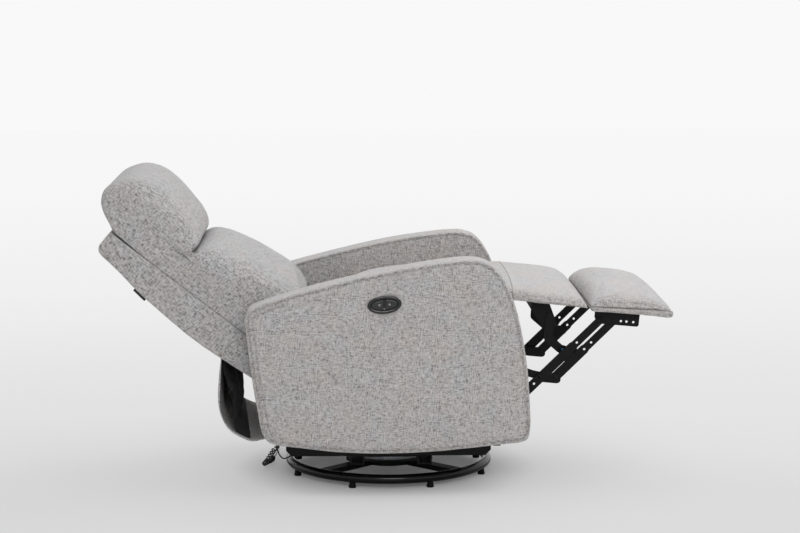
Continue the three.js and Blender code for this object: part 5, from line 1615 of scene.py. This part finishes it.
class RECLINER_OT_studio(Step, bpy.types.Operator):
    """A pale floor, soft lamps and the camera at the photographed angle"""

    bl_idname = "recliner.studio"
    bl_label = "Studio"

    def execute(self, context):
        studio = settings()[2]
        scene = context.scene
        scene.view_settings.view_transform = "Standard"
        camera = bpy.data.objects.new("camera", bpy.data.cameras.new("camera"))
        scene.collection.objects.link(camera)
        scene.camera = camera
        camera.data.lens = studio.lens
        camera.data.sensor_width = 36
        camera.data.clip_end = 100
        camera.location = (SWIVEL.x - 0.188, -6.277, 1.435)
        psi, phi = math.radians(2.024), math.radians(7.647)
        ahead = Vector((math.sin(psi) * math.cos(phi), math.cos(psi) * math.cos(phi), -math.sin(phi)))
        camera.rotation_mode = "QUATERNION"
        camera.rotation_quaternion = ahead.to_track_quat("-Z", "Y")

        size = 14
        mesh = bpy.data.meshes.new("studio_floor")
        mesh.from_pydata([(-size, -size, 0), (size, -size, 0), (size, size, 0), (-size, size, 0)], [], [(0, 1, 2, 3)])
        floor = bpy.data.objects.new("studio_floor", mesh)
        scene.collection.objects.link(floor)
        n = Nodes("studio_floor")
        place = n.add("ShaderNodeTexCoord").outputs["Object"]
        mottle = n.grain(place, 2.2, detail=6, roughness=0.6)
        tone = tuple(studio.floor_tone)
        colour = n.ramp(mottle, (0.3, tuple(0.95 * c for c in tone)), (0.7, tone))
        n.set(Base_Color=colour, Roughness=0.55, Specular_IOR_Level=0.25)
        # A pale sweep: the floor lit as it is, with its shade under the chair, a painted glow further out that thins
        # its shadow, and the white background far from it
        near = n.math("DIVIDE", n.vector("LENGTH", place), 5.0)
        fade = n.ramp(near, *((at, (v, v, v)) for at, v in FLOOR_FADE))
        moved = n.vector("ADD", place, (0, 0.6, 0))
        away = n.math("DIVIDE", n.vector("LENGTH", n.stretched(moved, (0.35, 1, 1))), float(size))
        light = n.add("ShaderNodeLightPath")
        seen = n.math("MULTIPLY", fade, light.outputs["Is Camera Ray"])
        sweep = n.ramp(away, *((at, (v, v, v)) for at, v in FLOOR_TONES))
        glow = n.add("ShaderNodeEmission")
        n.put(glow.inputs["Color"], sweep)
        both = n.add("ShaderNodeMixShader")
        n.put(both.inputs[0], seen)
        n.put(both.inputs[1], n.shader.outputs[0])
        n.put(both.inputs[2], glow.outputs[0])
        n.put(n.output.inputs["Surface"], both.outputs[0])
        mesh.materials.append(n.material)

        world = bpy.data.worlds.new("studio_world")
        scene.world = world
        world.use_nodes = True
        tree = world.node_tree
        tree.nodes.clear()
        path = tree.nodes.new("ShaderNodeLightPath")
        dim, bright = tree.nodes.new("ShaderNodeBackground"), tree.nodes.new("ShaderNodeBackground")
        for node, tint, strength in ((dim, (0.985, 0.985, 1.0, 1), 0.62), (bright, (0.945, 0.945, 0.945, 1), 1.0)):
            node.inputs["Color"].default_value = tint
            node.inputs["Strength"].default_value = strength
        either = tree.nodes.new("ShaderNodeMath")
        either.operation = "MAXIMUM"
        tree.links.new(path.outputs["Is Camera Ray"], either.inputs[0])
        tree.links.new(path.outputs["Is Glossy Ray"], either.inputs[1])
        blend = tree.nodes.new("ShaderNodeMixShader")
        tree.links.new(either.outputs[0], blend.inputs[0])
        tree.links.new(dim.outputs[0], blend.inputs[1])
        tree.links.new(bright.outputs[0], blend.inputs[2])
        out = tree.nodes.new("ShaderNodeOutputWorld")
        tree.links.new(blend.outputs[0], out.inputs["Surface"])

        def lamp(name, at, aim, size, power):
            data = bpy.data.lights.new(name, "AREA")
            data.shape = "RECTANGLE"
            data.size, data.size_y = size
            data.energy = power
            obj = bpy.data.objects.new(name, data)
            scene.collection.objects.link(obj)
            obj.location = at
            obj.rotation_mode = "QUATERNION"
            obj.rotation_quaternion = (Vector(aim) - Vector(at)).to_track_quat("-Z", "Y")

        lamp("overhead", (1.3, 0.2, 3.2), (0.2, 0, 0.4), (4.0, 3.0), studio.key_power)
        lamp("front_softbox", (0.2, -4.4, 2.2), (0, 0, 0.4), (1.9, 0.9), studio.key_power * 0.68)
        return {"FINISHED"}


STEPS = (
    RECLINER_OT_studio,
    RECLINER_OT_lead,
    RECLINER_OT_arms,
    RECLINER_OT_back,
    RECLINER_OT_seat,
    RECLINER_OT_footrest,
    RECLINER_OT_flap,
    RECLINER_OT_base,
    RECLINER_OT_steel,
    RECLINER_OT_switch,
)


class RECLINER_PT_panel(bpy.types.Panel):
    """The recliner's pieces and sizes"""

    bl_label = "Recliner"
    bl_idname = "RECLINER_PT_panel"
    bl_space_type = "VIEW_3D"
    bl_region_type = "UI"
    bl_category = "Recliner"

    def draw(self, context):
        for group in settings():
            box = self.layout.box()
            for key in group.bl_rna.properties.keys():
                if key not in ("rna_type", "name"):
                    box.prop(group, key)
        for step in STEPS:
            self.layout.operator(step.bl_idname)


CLASSES = (ClothSettings, FormSettings, StudioSettings, *STEPS, RECLINER_PT_panel)


def register():
    for item in CLASSES:
        bpy.utils.register_class(item)
    bpy.types.Scene.recliner_cloth = PointerProperty(type=ClothSettings)
    bpy.types.Scene.recliner_forms = PointerProperty(type=FormSettings)
    bpy.types.Scene.recliner_studio = PointerProperty(type=StudioSettings)


def unregister():
    del bpy.types.Scene.recliner_cloth
    del bpy.types.Scene.recliner_forms
    del bpy.types.Scene.recliner_studio
    for item in reversed(CLASSES):
        bpy.utils.unregister_class(item)


def main():
    register()
    bpy.ops.recliner.studio()
    bpy.ops.recliner.lead()
    bpy.ops.recliner.arms()
    bpy.ops.recliner.back()
    bpy.ops.recliner.seat()
    bpy.ops.recliner.footrest()
    bpy.ops.recliner.flap()
    bpy.ops.recliner.base()
    bpy.ops.recliner.steel()
    bpy.ops.recliner.switch()


if __name__ == "__main__":
    main()
